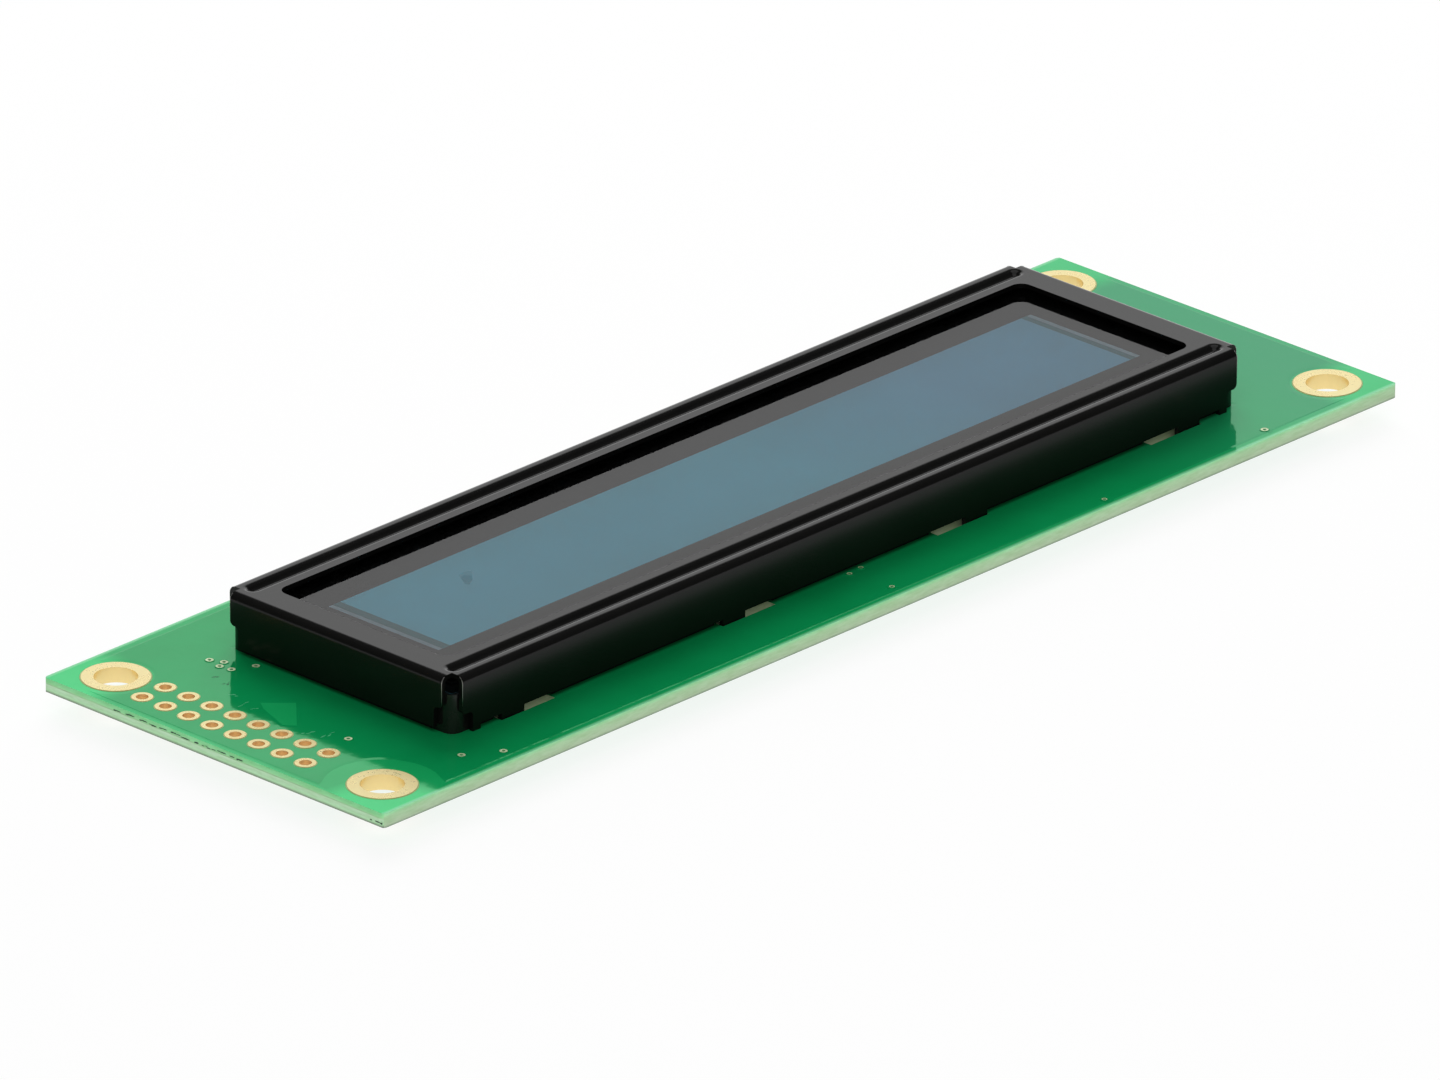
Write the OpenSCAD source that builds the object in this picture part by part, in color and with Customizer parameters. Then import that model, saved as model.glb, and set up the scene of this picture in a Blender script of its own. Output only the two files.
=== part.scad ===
// Character OLED display module: a glass panel under a stamped sheet steel bezel, on a green
// circuit board with plated mounting holes and a double row of header holes at its left end.
// The origin is under the middle of the board, level with the lower ends of the bezel's tabs.
// X runs along the board, with the header at its negative end. Y runs across it, and Z is up.

/* [Circuit board] */
// Length of the board
board_l = 116; // [114:0.5:124]
// Width of the board
board_w = 37; // [36:0.5:44]
// Thickness of the board
board_t = 1.2; // [0.8:0.1:2]
// Radius of the board's corners
board_corner_r = 0.5; // [0.2:0.1:1.5]
// Depth of the score on each face along the board's ends, where it was broken from its panel
score_depth = 0.4; // [0.2:0.05:0.5]
// Width of the slope that the score leaves
score_w = 0.12; // [0.05:0.01:0.3]

/* [Mounting holes] */
// Distance from the board's edges to the middle of a mounting hole
mount_edge = 4.0; // [3.5:0.1:4.5]
// Bore of a plated mounting hole
mount_hole_d = 3.5; // [2.5:0.1:3.8]
// Diameter of the gold land round a mounting hole
mount_land_d = 5.5; // [4.5:0.1:6]

/* [Header holes] */
// Number of header holes in a row
header_count = 8; // [4:1:8]
// Distance between neighbouring header holes
header_pitch = 2.54; // [2:0.02:2.6]
// Distance from the board's left end to the outer row
header_edge = 2.7; // [2:0.1:4]
// Offset of the header's middle from the board's middle line
header_y = 1.41; // [0:0.01:1.5]
// Bore of a plated header hole
header_hole_d = 1.0; // [0.7:0.05:1.1]
// Diameter of the gold land round a header hole
header_land_d = 1.7; // [1.5:0.05:1.9]

/* [Plating] */
// Thickness of the plated wall in a hole
plating_t = 0.1; // [0.05:0.01:0.15]
// Thickness of a land on the board's face
land_t = 0.05; // [0.03:0.01:0.1]
// Bore of a via
via_hole_d = 0.3; // [0.2:0.05:0.35]
// Diameter of a via's land
via_land_d = 0.7; // [0.68:0.01:0.8]

/* [Bezel] */
// Free length of board left of the bezel, with the header
margin_left = 13.6; // [12:0.1:18]
// Free length of board right of the bezel
margin_right = 11.6; // [8:0.1:16]
// Free width of board on each side of the bezel
margin_side = 5.85; // [4:0.05:8]
// Height of the bezel's front face above the board
bezel_h = 5.0; // [4.6:0.1:6.5]
// Thickness of the bezel's sheet
sheet_t = 0.4; // [0.3:0.05:0.5]
// Outer radius of the bend between the front and the walls
bend_r = 0.65; // [0.55:0.05:0.8]
// Gap under the walls, above the board
wall_lift = 0.5; // [0.2:0.05:0.8]
// Side of the square cut from each corner of the blank
corner_gap = 1.15; // [0.9:0.05:1.3]
// Height above the board of the notches at the ends of the side walls
side_notch_z = 1.75; // [1.4:0.05:2]
// Length of the notch at each end of a side wall
side_notch = 1.15; // [0.8:0.05:1.3]
// Height above the board of the notches at the ends of the end walls
end_notch_z = 2.3; // [1.6:0.05:2.6]
// Length of the notch at each end of an end wall
end_notch = 0.85; // [0.6:0.05:1.2]
// Radius of the notches' corners
notch_r = 0.4; // [0.2:0.05:0.5]
// Width of the foot at each end of a side wall
foot_w = 0.85; // [0.6:0.05:1.2]

/* [Window] */
// Width of the bezel's face at each end of the window
window_end = 2.9; // [2:0.1:5]
// Width of the bezel's face at each side of the window
window_side = 3.35; // [3:0.05:4.5]
// Radius of the window's corners
window_r = 1.0; // [0.3:0.1:2]

/* [Pressed bead] */
// Width of the bead's groove, with its round shoulders
bead_w = 1.7; // [1.6:0.05:1.8]
// Depth of the groove below the front face
bead_depth = 0.38; // [0.3:0.01:0.4]
// Inner radius of the groove's bottom
bead_r = 0.5; // [0.35:0.05:0.55]
// Distance from the bezel's side to the bead's middle
bead_inset = 1.75; // [1.7:0.05:1.85]
// Distance from the bezel's end to the groove's end
bead_end = 1.1; // [1.05:0.05:2]

/* [Twist tabs] */
// Width of a tab
tab_w = 2.5; // [1.8:0.1:3]
// Length of a tab below the board
tab_drop = 1.7; // [1.6:0.05:2.5]
// Turn of a tab's lower end
tab_turn = 40; // [20:5:60]
// Distance from the bezel's end to the middle of an outer tab
tab_end = 6.75; // [5:0.25:10]
// Distance of the inner tabs from the bezel's middle
tab_inner_x = 13.85; // [10:0.05:20]
// Length of a tab's slot in the board
slot_l = 6.2; // [4:0.1:8]
// Width of a tab's slot
slot_w = 1.1; // [0.95:0.05:1.2]
// Gap between a tab and its slot's outer end
slot_end_gap = 0.25; // [0.2:0.05:0.4]
// Offset of a slot's middle line from its tab's, towards the panel
slot_shift = 0.1; // [0:0.05:0.15]

/* [Display panel] */
// Thickness of the polarizing film
film_t = 0.2; // [0.1:0.05:0.3]
// Thickness of the front glass
front_glass_t = 0.7; // [0.5:0.1:1.1]
// Inset of the front glass from the carrier's outer faces
glass_inset = 0.4; // [0.2:0.05:0.5]
// Inset of the film from the edges of the front glass
film_inset = 0.3; // [0.1:0.05:0.4]
// Distance from the pixel area to each end of the window
pixel_end = 3.5; // [3.2:0.1:8]
// Distance from the pixel area to each side of the window
pixel_side = 3.3; // [3.1:0.1:5]
// Thickness of the pixel layer and its bus bars
pixel_t = 0.06; // [0.04:0.01:0.1]
// Gap between the pixel area and a bus bar
bus_gap = 0.6; // [0.3:0.05:0.8]
// Width of a bus bar
bus_w = 0.5; // [0.3:0.05:0.7]
// Gap between the pixel layer and the seal
seal_gap = 0.45; // [0.2:0.05:0.5]
// Width of the edge seal
seal_w = 1.2; // [0.8:0.1:1.3]
// Thickness of the edge seal
seal_t = 0.12; // [0.11:0.01:0.2]
// Thickness of the cap glass
cap_glass_t = 1.1; // [0.9:0.1:1.5]
// Depth of the recess in the cap glass
cap_recess = 0.4; // [0.3:0.05:0.6]
// Thickness of the desiccant sheet
desiccant_t = 0.2; // [0.1:0.05:0.25]
// Distance from the desiccant sheet's edge to the recess's wall
desiccant_inset = 2; // [1:0.25:3]

/* [Panel carrier] */
// Gap between the carrier and the bezel's walls
carrier_gap = 0.15; // [0.05:0.05:0.25]
// Radius of the carrier's corners
carrier_corner_r = 1.0; // [0.5:0.1:1.5]
// Gap between the cap glass and the carrier's pocket
pocket_gap = 0.3; // [0.1:0.05:0.4]
// Thickness of the ribs between the pocket and the contact strips
rib_t = 0.7; // [0.4:0.05:0.8]
// Height of the carrier's clearances for the tabs
relief_h = 2.0; // [1:0.1:2.4]
// Gap between a slot's edge and the carrier's clearance
relief_gap = 0.2; // [0.1:0.05:0.3]

/* [Contact strips] */
// Width of a contact strip
strip_w = 1.8; // [1.4:0.1:2]
// Distance from the carrier's end to a contact strip's end
strip_end = 4.85; // [3:0.05:8]
// Gap between a strip and the carrier, on each side
strip_gap = 0.1; // [0.05:0.05:0.15]
// Number of gold contact fingers under a strip
finger_count = 58; // [20:1:58]
// Share of the row that the fingers' metal takes up
finger_share = 0.6; // [0.3:0.05:0.8]

/* [Driver chip] */
// Diameter of the resin cover over the driver chip
cover_d = 16; // [12:0.5:18]
// Height of the resin cover
cover_h = 1.3; // [0.9:0.05:1.5]
// Length of the driver chip
die_l = 4.2; // [2:0.1:6]
// Width of the driver chip
die_w = 2.4; // [1:0.1:3]
// Thickness of the driver chip
die_t = 0.4; // [0.2:0.05:0.5]

/* [Power inductor] */
// Diameter of the inductor's flanges
inductor_d = 4.0; // [3.9:0.1:5]
// Thickness of a flange
inductor_flange_t = 0.35; // [0.25:0.05:0.4]
// Diameter of the inductor's hub
inductor_hub_d = 1.8; // [1.2:0.1:2.2]
// Diameter of the winding
inductor_coil_d = 3.6; // [2.6:0.1:3.8]
// Height of the winding
inductor_coil_h = 0.65; // [0.4:0.05:0.7]
// Thickness of the inductor's terminals
inductor_terminal_t = 0.1; // [0.05:0.01:0.15]
// Length of a terminal along the inductor
inductor_terminal_l = 1.0; // [0.6:0.1:1.2]

/* [Leaded chips] */
// Thickness of the chips' leads
lead_t = 0.15; // [0.1:0.01:0.2]
// Length of a lead's foot beyond its bend
lead_foot = 0.35; // [0.2:0.05:0.5]
// Reach of a lead from the body to its bend
lead_reach = 0.3; // [0.2:0.05:0.4]
// Gap between a chip's body and the board
chip_lift = 0.1; // [0.05:0.01:0.15]
// Length of the voltage converter's body
converter_l = 2.9; // [2.6:0.1:3.2]
// Width of the voltage converter's body
converter_w = 1.6; // [1.4:0.1:1.8]
// Height of the voltage converter's body
converter_h = 1.1; // [0.8:0.05:1.3]
// Distance between neighbouring converter leads
converter_pitch = 0.95; // [0.8:0.05:1]
// Width of a converter lead
converter_lead_w = 0.4; // [0.3:0.05:0.5]
// Length of the rectifier's body
rectifier_l = 1.6; // [1.4:0.1:2]
// Width of the rectifier's body, between its leads
rectifier_w = 2.7; // [2.4:0.1:3]
// Height of the rectifier's body
rectifier_h = 1.1; // [0.8:0.05:1.3]
// Width of a rectifier lead
rectifier_lead_w = 0.6; // [0.4:0.05:0.9]

/* [Chip components] */
// Length of a capacitor
capacitor_l = 3.2; // [2.6:0.1:3.6]
// Width of a capacitor
capacitor_w = 1.6; // [1.2:0.1:1.8]
// Height of a capacitor
capacitor_h = 1.2; // [0.8:0.05:1.4]
// Length of a capacitor's end cap
capacitor_end = 0.5; // [0.3:0.05:0.7]
// Length of a resistor
resistor_l = 1.6; // [1.4:0.1:2]
// Width of a resistor
resistor_w = 0.8; // [0.6:0.05:1]
// Height of a resistor
resistor_h = 0.45; // [0.3:0.05:0.6]
// Length of a resistor's end cap
resistor_end = 0.3; // [0.2:0.05:0.4]
// Foot of a solder joint in front of an end cap
solder_foot = 0.35; // [0.2:0.05:0.5]
// Share of an end cap's height that the solder climbs
solder_climb = 0.6; // [0.3:0.05:0.9]

/* [Hidden] */
$fn = 48;
// Extra length of a cutting shape beyond the face that it cuts
over = 1;
// Gap between a pressed bead and the film under it
press_gap = 0.02;
// Number of steps along a tab's twist
twist_steps = 6;
// Number of steps round the wide circle of the resin cover's section
dome_steps = 360;

// Heights of the board's two faces
back_z = tab_drop;
face_z = tab_drop + board_t;

// The bezel's size and the offset of its middle, from the free board round it
bezel_l = board_l - margin_left - margin_right;
bezel_w = board_w - 2 * margin_side;
bezel_x = (margin_left - margin_right) / 2;
bezel_left = bezel_x - bezel_l / 2;

// Vias: distance past an end or the middle of the bezel, and place from the board's middle or near edge
header_vias = [[-2.3, 11.5], [-1.8, 10.4], [-2.6, 10.1], [-2.4, 9.0], [-0.6, 8.1], [-5.4, -6.7]];
left_vias = [[-1.5, 3.4], [1.3, 1.6]];
middle_vias = [[-1.0, 5.6], [0.5, 5.8], [-0.5, 1.5], [23.6, 1.1]];
right_vias = [[-2.8, 1.3]];
near_y = -board_w / 2;
via_places = concat(
    [for (v = header_vias) [bezel_left + v[0], v[1]]],
    [for (v = left_vias) [bezel_left + v[0], near_y + v[1]]],
    [for (v = middle_vias) [bezel_x + v[0], near_y + v[1]]],
    [for (v = right_vias) [bezel_left + bezel_l + v[0], near_y + v[1]]]
);
mount_places = [
    for (x = [-1, 1], y = [-1, 1])
        [x * (board_l / 2 - mount_edge), y * (board_w / 2 - mount_edge)]
];
header_places = [
    for (column = [0, 1], row = [0 : header_count - 1])
        [header_edge - board_l / 2 + column * header_pitch,
         header_y + (row - (header_count - 1) / 2) * header_pitch]
];

// The bezel's side walls, and the slots that its tabs pass through
wall_y = (bezel_w - sheet_t) / 2;
slot_y = wall_y - slot_shift;
tab_outer_x = bezel_l / 2 - tab_end;
tab_places = [for (side = [-1, 1], x = [tab_outer_x, tab_inner_x], end = [-1, 1]) [end * x, side]];
slot_reach = tab_w / 2 + slot_end_gap - slot_l / 2;

// The bead bears on the film, and the panel hangs below it, on the carrier
bead_y = bezel_w / 2 - bead_inset;
film_top = bezel_h - bead_depth - sheet_t - press_gap;

// The bead's section is three arcs: a shoulder, the bottom and a shoulder, which turn by the same angle
bead_arcs = (bead_w * bead_w / 4 + bead_depth * bead_depth) / (2 * bead_depth);
shoulder_r = bead_arcs - bead_r;
bead_slope = asin(bead_w / 2 / bead_arcs);

glass_top = film_top - film_t;
carrier_h = glass_top - front_glass_t;
cap_top = carrier_h - seal_t;

carrier_l = bezel_l - 2 * (sheet_t + carrier_gap);
carrier_w = bezel_w - 2 * (sheet_t + carrier_gap);
glass_l = carrier_l - 2 * glass_inset;
glass_w = carrier_w - 2 * glass_inset;
window_l = bezel_l - 2 * window_end;
window_w = bezel_w - 2 * window_side;
pixel_l = window_l - 2 * pixel_end;
pixel_w = window_w - 2 * pixel_side;
recess_l = pixel_l + 2 * (bus_gap + bus_w + seal_gap);
recess_w = pixel_w + 2 * seal_gap;
cap_l = recess_l + 2 * seal_w;
cap_w = recess_w + 2 * seal_w;
pocket_l = cap_l + 2 * pocket_gap;
pocket_w = cap_w + 2 * pocket_gap;
strip_l = carrier_l - 2 * strip_end;
strip_y = pocket_w / 2 + rib_t + strip_gap + strip_w / 2;
finger_pitch = strip_l / (finger_count + 1);
finger_w = finger_pitch * finger_share;

// The parts under the board: place along and across it, and turn
driver_place = [9, 0, 0];
inductor_place = [-30, 3.5, 0];
inductor_gap_z = inductor_terminal_t + inductor_flange_t;
converter_place = [-23, 3.5, 0];
rectifier_place = [-30, -3.5, 0];
capacitor_places = [[-37, 3.5, 90], [-37, -3.5, 90], [-23, -3.5, 90], [-16, 3.5, 90]];
resistor_places = [
    [-18.5, -5, 0], [-18.5, -3, 0], [-14.5, -5, 0], [-14.5, -3, 0], [-8, 4, 90], [-5, 4, 90],
    [24, 4, 90], [27, 4, 90], [30, 4, 90], [24, -4, 90], [27, -4, 90], [30, -4, 90]
];

// Flat shapes

module rounded_rect(l, w, r) {
    square([l - 2 * r, w], center = true);
    square([l, w - 2 * r], center = true);
    for (x = [-1, 1], y = [-1, 1])
        translate([x * (l / 2 - r), y * (w / 2 - r)])
            circle(r);
}

module stadium(l, w) {
    square([l - w, w], center = true);
    for (x = [-1, 1])
        translate([x * (l - w) / 2, 0])
            circle(w / 2);
}

// Section of a sheet cover: straight sides from the ground, round upper corners
module arch(w, h, r) {
    translate([-w / 2, 0])
        square([w, h - r]);
    translate([r - w / 2, 0])
        square([w - 2 * r, h]);
    for (x = [-1, 1])
        translate([x * (w / 2 - r), h - r])
            circle(r);
}

// What a notch cuts from a wall's end: the wall's end is at 0 and the wall runs to +X
module notch_cut(depth, z) {
    difference() {
        translate([-over, -over])
            square([over + depth, over + z]);
        translate([depth - notch_r, z - notch_r])
            difference() {
                square(notch_r + over);
                circle(notch_r);
            }
    }
    translate([0, z])
        difference() {
            translate([-over, -notch_r])
                square([over + notch_r, 2 * notch_r]);
            translate([notch_r, notch_r])
                circle(notch_r);
            translate([0, -notch_r])
                square([notch_r, notch_r]);
        }
}

// Solid shapes

module plate(l, w, t, z) {
    translate([-l / 2, -w / 2, z])
        cube([l, w, t]);
}

// Rounded cover, open below: both pairs of walls bend into the front face
module cover_block(l, w, h, r) {
    intersection() {
        rotate([90, 0, 0])
            linear_extrude(height = w, center = true)
                arch(l, h, r);
        rotate([90, 0, 90])
            linear_extrude(height = l, center = true)
                arch(w, h, r);
    }
}

// Plated hole: a barrel through the board with a land on each face
module hole_ring(hole_d, land_d) {
    bore = hole_d / 2;
    wall = bore + plating_t;
    land = land_d / 2;
    translate([0, 0, back_z])
        rotate_extrude()
            polygon([
                [bore, -land_t], [land, -land_t], [land, 0], [wall, 0],
                [wall, board_t], [land, board_t], [land, board_t + land_t], [bore, board_t + land_t]
            ]);
}

module at_places(places) {
    for (p = places)
        translate([p[0], p[1], 0])
            children();
}

// Puts a part on the board's back, built upwards from the board
module on_back(place) {
    translate([place[0], place[1], back_z])
        rotate([180, 0, place[2]])
            children();
}

module on_face() {
    translate([bezel_x, 0, face_z])
        children();
}

// The circuit board and its copper

module board_outline() {
    difference() {
        rounded_rect(board_l, board_w, board_corner_r);
        at_places(mount_places)
            circle(mount_hole_d / 2 + plating_t);
        at_places(header_places)
            circle(header_hole_d / 2 + plating_t);
        at_places(via_places)
            circle(via_hole_d / 2 + plating_t);
        translate([bezel_x, 0])
            for (t = tab_places)
                translate([t[0] + sign(t[0]) * slot_reach, t[1] * slot_y])
                    stadium(slot_l, slot_w);
    }
}

// Half of a score's groove along the right end of the upper face
module score_cut() {
    end_x = board_l / 2;
    rotate([90, 0, 0])
        linear_extrude(height = board_w + 2 * over, center = true)
            polygon([
                [end_x - score_w, board_t], [end_x, board_t - score_depth],
                [end_x + over, board_t - score_depth], [end_x + over, board_t + over],
                [end_x - score_w, board_t + over]
            ]);
}

module circuit_board() {
    color("seagreen")
        translate([0, 0, back_z])
            difference() {
                linear_extrude(height = board_t)
                    board_outline();
                for (end = [0, 1])
                    mirror([end, 0, 0]) {
                        score_cut();
                        translate([0, 0, board_t])
                            mirror([0, 0, 1])
                                score_cut();
                    }
            }
}

module mounting_hole_rings() {
    color("khaki")
        at_places(mount_places)
            hole_ring(mount_hole_d, mount_land_d);
}

module header_hole_rings() {
    color("khaki")
        at_places(header_places)
            hole_ring(header_hole_d, header_land_d);
}

module via_rings() {
    color("khaki")
        at_places(via_places)
            hole_ring(via_hole_d, via_land_d);
}

module contact_fingers() {
    color("gold")
        on_face()
            for (side = [-1, 1], i = [0 : finger_count - 1])
                translate([(i - (finger_count - 1) / 2) * finger_pitch, side * strip_y, 0])
                    plate(finger_w, strip_w, land_t, 0);
}

// The display panel and what carries it

module panel_carrier() {
    relief_y = slot_y - slot_w / 2 - relief_gap;
    relief_l = slot_l + 2 * relief_gap;
    color("dimgray")
        on_face()
            difference() {
                linear_extrude(height = carrier_h)
                    difference() {
                        rounded_rect(carrier_l, carrier_w, carrier_corner_r);
                        square([pocket_l, pocket_w], center = true);
                        for (side = [-1, 1])
                            translate([0, side * strip_y])
                                square([strip_l + 2 * strip_gap, strip_w + 2 * strip_gap], center = true);
                    }
                for (t = tab_places)
                    translate([t[0] + sign(t[0]) * slot_reach, t[1] * (relief_y + bezel_w / 4), 0])
                        plate(relief_l, bezel_w / 2, relief_h + over, -over);
            }
}

module contact_strips() {
    color("lightgray")
        on_face()
            for (side = [-1, 1])
                translate([0, side * strip_y, 0])
                    plate(strip_l, strip_w, carrier_h - land_t, land_t);
}

module cap_glass() {
    color("lightcyan")
        on_face()
            difference() {
                plate(cap_l, cap_w, cap_glass_t, cap_top - cap_glass_t);
                plate(recess_l, recess_w, cap_recess + over, cap_top - cap_recess);
            }
}

module desiccant_sheet() {
    color("whitesmoke")
        on_face()
            plate(recess_l - 2 * desiccant_inset, recess_w - 2 * desiccant_inset, desiccant_t,
                  cap_top - cap_recess);
}

module edge_seal() {
    color("tan")
        on_face()
            difference() {
                plate(cap_l, cap_w, seal_t, cap_top);
                plate(recess_l, recess_w, seal_t + 2 * over, cap_top - over);
            }
}

module pixel_layer() {
    color("lightslategray")
        on_face()
            plate(pixel_l, pixel_w, pixel_t, carrier_h - pixel_t);
}

module bus_bars() {
    color("silver")
        on_face()
            for (end = [-1, 1])
                translate([end * (pixel_l / 2 + bus_gap + bus_w / 2), 0, 0])
                    plate(bus_w, pixel_w, pixel_t, carrier_h - pixel_t);
}

module front_glass() {
    color("azure", 0.4)
        on_face()
            plate(glass_l, glass_w, front_glass_t, carrier_h);
}

module polarizing_film() {
    color("gray", 0.5)
        on_face()
            plate(glass_l - 2 * film_inset, glass_w - 2 * film_inset, film_t, glass_top);
}

// The stamped bezel

// Section of the groove below the front face, or of the bead's back, a sheet's thickness outside it
module bead_section(thickness) {
    arc_z = bead_r - bead_depth;
    bottom_r = bead_r + thickness;
    half = bottom_r * sin(bead_slope);
    turn_z = arc_z - bottom_r * cos(bead_slope);
    difference() {
        polygon([
            [-bead_w / 2, over], [bead_w / 2, over], [bead_w / 2, -thickness],
            [half, turn_z], [-half, turn_z], [-bead_w / 2, -thickness]
        ]);
        for (side = [-1, 1])
            translate([side * bead_w / 2, -shoulder_r])
                circle(shoulder_r - thickness);
    }
    intersection() {
        translate([0, arc_z])
            circle(bottom_r);
        translate([-bead_w / 2, turn_z - bottom_r])
            square([bead_w, bottom_r]);
    }
}

// Groove's or bead's bar along each side of the front face, with round ends
module bead_bar(thickness) {
    reach = bezel_l / 2 - bead_end - bead_w / 2;
    for (side = [-1, 1])
        translate([0, side * bead_y, bezel_h]) {
            rotate([90, 0, 90])
                linear_extrude(height = 2 * reach, center = true)
                    bead_section(thickness);
            for (end = [-1, 1])
                translate([end * reach, 0, 0])
                    rotate_extrude()
                        intersection() {
                            bead_section(thickness);
                            translate([0, -bezel_h])
                                square([bead_w, 2 * bezel_h]);
                        }
        }
}

module bezel_shell() {
    wall_h = bezel_h - wall_lift;
    translate([0, 0, wall_lift])
        difference() {
            cover_block(bezel_l, bezel_w, wall_h, bend_r);
            translate([0, 0, -over])
                cover_block(bezel_l - 2 * sheet_t, bezel_w - 2 * sheet_t, wall_h - sheet_t + over,
                            bend_r - sheet_t);
        }
}

// Squares cut from the corners of the blank, which leave the walls apart
module corner_cuts() {
    side = corner_gap + over;
    for (x = [-1, 1], y = [-1, 1])
        translate([x * (bezel_l / 2 - corner_gap + side / 2), y * (bezel_w / 2 - corner_gap + side / 2), 0])
            plate(side, side, bezel_h + over, 0);
}

// Notches at the lower ends of the walls
module notch_cuts() {
    for (end = [0, 1], side = [-1, 1])
        mirror([end, 0, 0]) {
            translate([corner_gap - bezel_l / 2, side * wall_y, 0])
                rotate([90, 0, 0])
                    linear_extrude(height = 2 * sheet_t, center = true)
                        notch_cut(side_notch, side_notch_z);
            translate([(sheet_t - bezel_l) / 2, side * (bezel_w / 2 - corner_gap), 0])
                rotate([90, 0, side * -90])
                    linear_extrude(height = 2 * sheet_t, center = true)
                        notch_cut(end_notch, end_notch_z);
        }
}

module tabs() {
    for (t = tab_places)
        translate([t[0], t[1] * wall_y, 0]) {
            plate(tab_w, sheet_t, board_t + wall_lift + sheet_t, -board_t);
            translate([0, 0, -board_t])
                rotate([180, 0, 0])
                    linear_extrude(height = tab_drop, twist = t[1] * sign(t[0]) * tab_turn,
                                   slices = twist_steps, $fn = twist_steps)
                        square([tab_w, sheet_t], center = true);
        }
}

module feet() {
    foot_x = bezel_l / 2 - corner_gap - side_notch - foot_w / 2;
    for (end = [-1, 1], side = [-1, 1])
        translate([end * foot_x, side * wall_y, 0])
            plate(foot_w, sheet_t, wall_lift + sheet_t, 0);
}

module bezel() {
    bead_h = bead_depth + sheet_t;
    color("black")
        on_face() {
            difference() {
                union() {
                    bezel_shell();
                    intersection() {
                        bead_bar(sheet_t);
                        plate(bezel_l - 2 * bend_r, bezel_w - 2 * bend_r, bead_h, bezel_h - bead_h);
                    }
                }
                bead_bar(0);
                translate([0, 0, bezel_h - sheet_t - over])
                    linear_extrude(height = sheet_t + 2 * over)
                        rounded_rect(window_l, window_w, window_r);
                corner_cuts();
                notch_cuts();
            }
            tabs();
            feet();
        }
}

// Parts on the board's back

module driver_chip() {
    color("slategray")
        on_back(driver_place)
            plate(die_l, die_w, die_t, 0);
}

module driver_cover() {
    dome_r = (cover_d * cover_d / 4 + cover_h * cover_h) / (2 * cover_h);
    color("black")
        on_back(driver_place)
            difference() {
                rotate_extrude()
                    intersection() {
                        translate([0, cover_h - dome_r])
                            circle(dome_r, $fn = dome_steps);
                        square([cover_d, cover_h]);
                    }
                plate(die_l, die_w, die_t + over, -over);
            }
}

module inductor_core() {
    hub_top = inductor_gap_z + inductor_coil_h;
    color("dimgray")
        on_back(inductor_place) {
            translate([0, 0, inductor_terminal_t])
                cylinder(d = inductor_d, h = inductor_flange_t);
            translate([0, 0, inductor_terminal_t])
                cylinder(d = inductor_hub_d, h = hub_top - inductor_terminal_t);
            translate([0, 0, hub_top])
                cylinder(d = inductor_d, h = inductor_flange_t);
        }
}

module inductor_winding() {
    color("peru")
        on_back(inductor_place)
            translate([0, 0, inductor_gap_z])
                difference() {
                    cylinder(d = inductor_coil_d, h = inductor_coil_h);
                    translate([0, 0, -over])
                        cylinder(d = inductor_hub_d, h = inductor_coil_h + 2 * over);
                }
}

module inductor_terminals() {
    color("silver")
        on_back(inductor_place)
            for (end = [-1, 1])
                translate([end * (inductor_d - inductor_terminal_l) / 2, 0, 0])
                    plate(inductor_terminal_l, inductor_d / 2, inductor_terminal_t, 0);
}

// Lead bent down from a chip's side to the board, with the chip's side at 0
module lead(width, body_h) {
    exit_z = chip_lift + body_h / 2;
    rotate([90, 0, 90])
        linear_extrude(height = width, center = true)
            polygon([
                [0, exit_z], [lead_reach, exit_z], [lead_reach, lead_t], [lead_reach + lead_foot, lead_t],
                [lead_reach + lead_foot, 0], [lead_reach - lead_t, 0],
                [lead_reach - lead_t, exit_z - lead_t], [0, exit_z - lead_t]
            ]);
}

module converter_chip() {
    color("black")
        on_back(converter_place)
            plate(converter_l, converter_w, converter_h, chip_lift);
}

module converter_leads() {
    color("silver")
        on_back(converter_place) {
            for (i = [-1, 0, 1])
                translate([i * converter_pitch, converter_w / 2, 0])
                    lead(converter_lead_w, converter_h);
            for (i = [-1, 1])
                translate([i * converter_pitch, -converter_w / 2, 0])
                    rotate(180)
                        lead(converter_lead_w, converter_h);
        }
}

module rectifier_body() {
    color("black")
        on_back(rectifier_place)
            plate(rectifier_l, rectifier_w, rectifier_h, chip_lift);
}

module rectifier_leads() {
    color("silver")
        on_back(rectifier_place)
            for (side = [0, 1])
                rotate(side * 180)
                    translate([0, rectifier_w / 2, 0])
                        lead(rectifier_lead_w, rectifier_h);
}

// The two end caps of a chip component, and the solder in front of them
module chip_ends(l, w, h, end_l) {
    for (end = [-1, 1])
        translate([end * (l - end_l) / 2, 0, 0])
            plate(end_l, w, h, 0);
}

module chip_solder(l, w, h) {
    for (turn = [0, 180])
        rotate(turn)
            translate([l / 2, 0, 0])
                rotate([90, 0, 0])
                    linear_extrude(height = w, center = true)
                        polygon([[0, 0], [solder_foot, 0], [0, h * solder_climb]]);
}

module capacitor_bodies() {
    color("tan")
        for (p = capacitor_places)
            on_back(p)
                plate(capacitor_l - 2 * capacitor_end, capacitor_w, capacitor_h, 0);
}

module capacitor_ends() {
    color("silver")
        for (p = capacitor_places)
            on_back(p)
                chip_ends(capacitor_l, capacitor_w, capacitor_h, capacitor_end);
}

module resistor_bodies() {
    color("black")
        for (p = resistor_places)
            on_back(p)
                plate(resistor_l - 2 * resistor_end, resistor_w, resistor_h, 0);
}

module resistor_ends() {
    color("silver")
        for (p = resistor_places)
            on_back(p)
                chip_ends(resistor_l, resistor_w, resistor_h, resistor_end);
}

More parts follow.
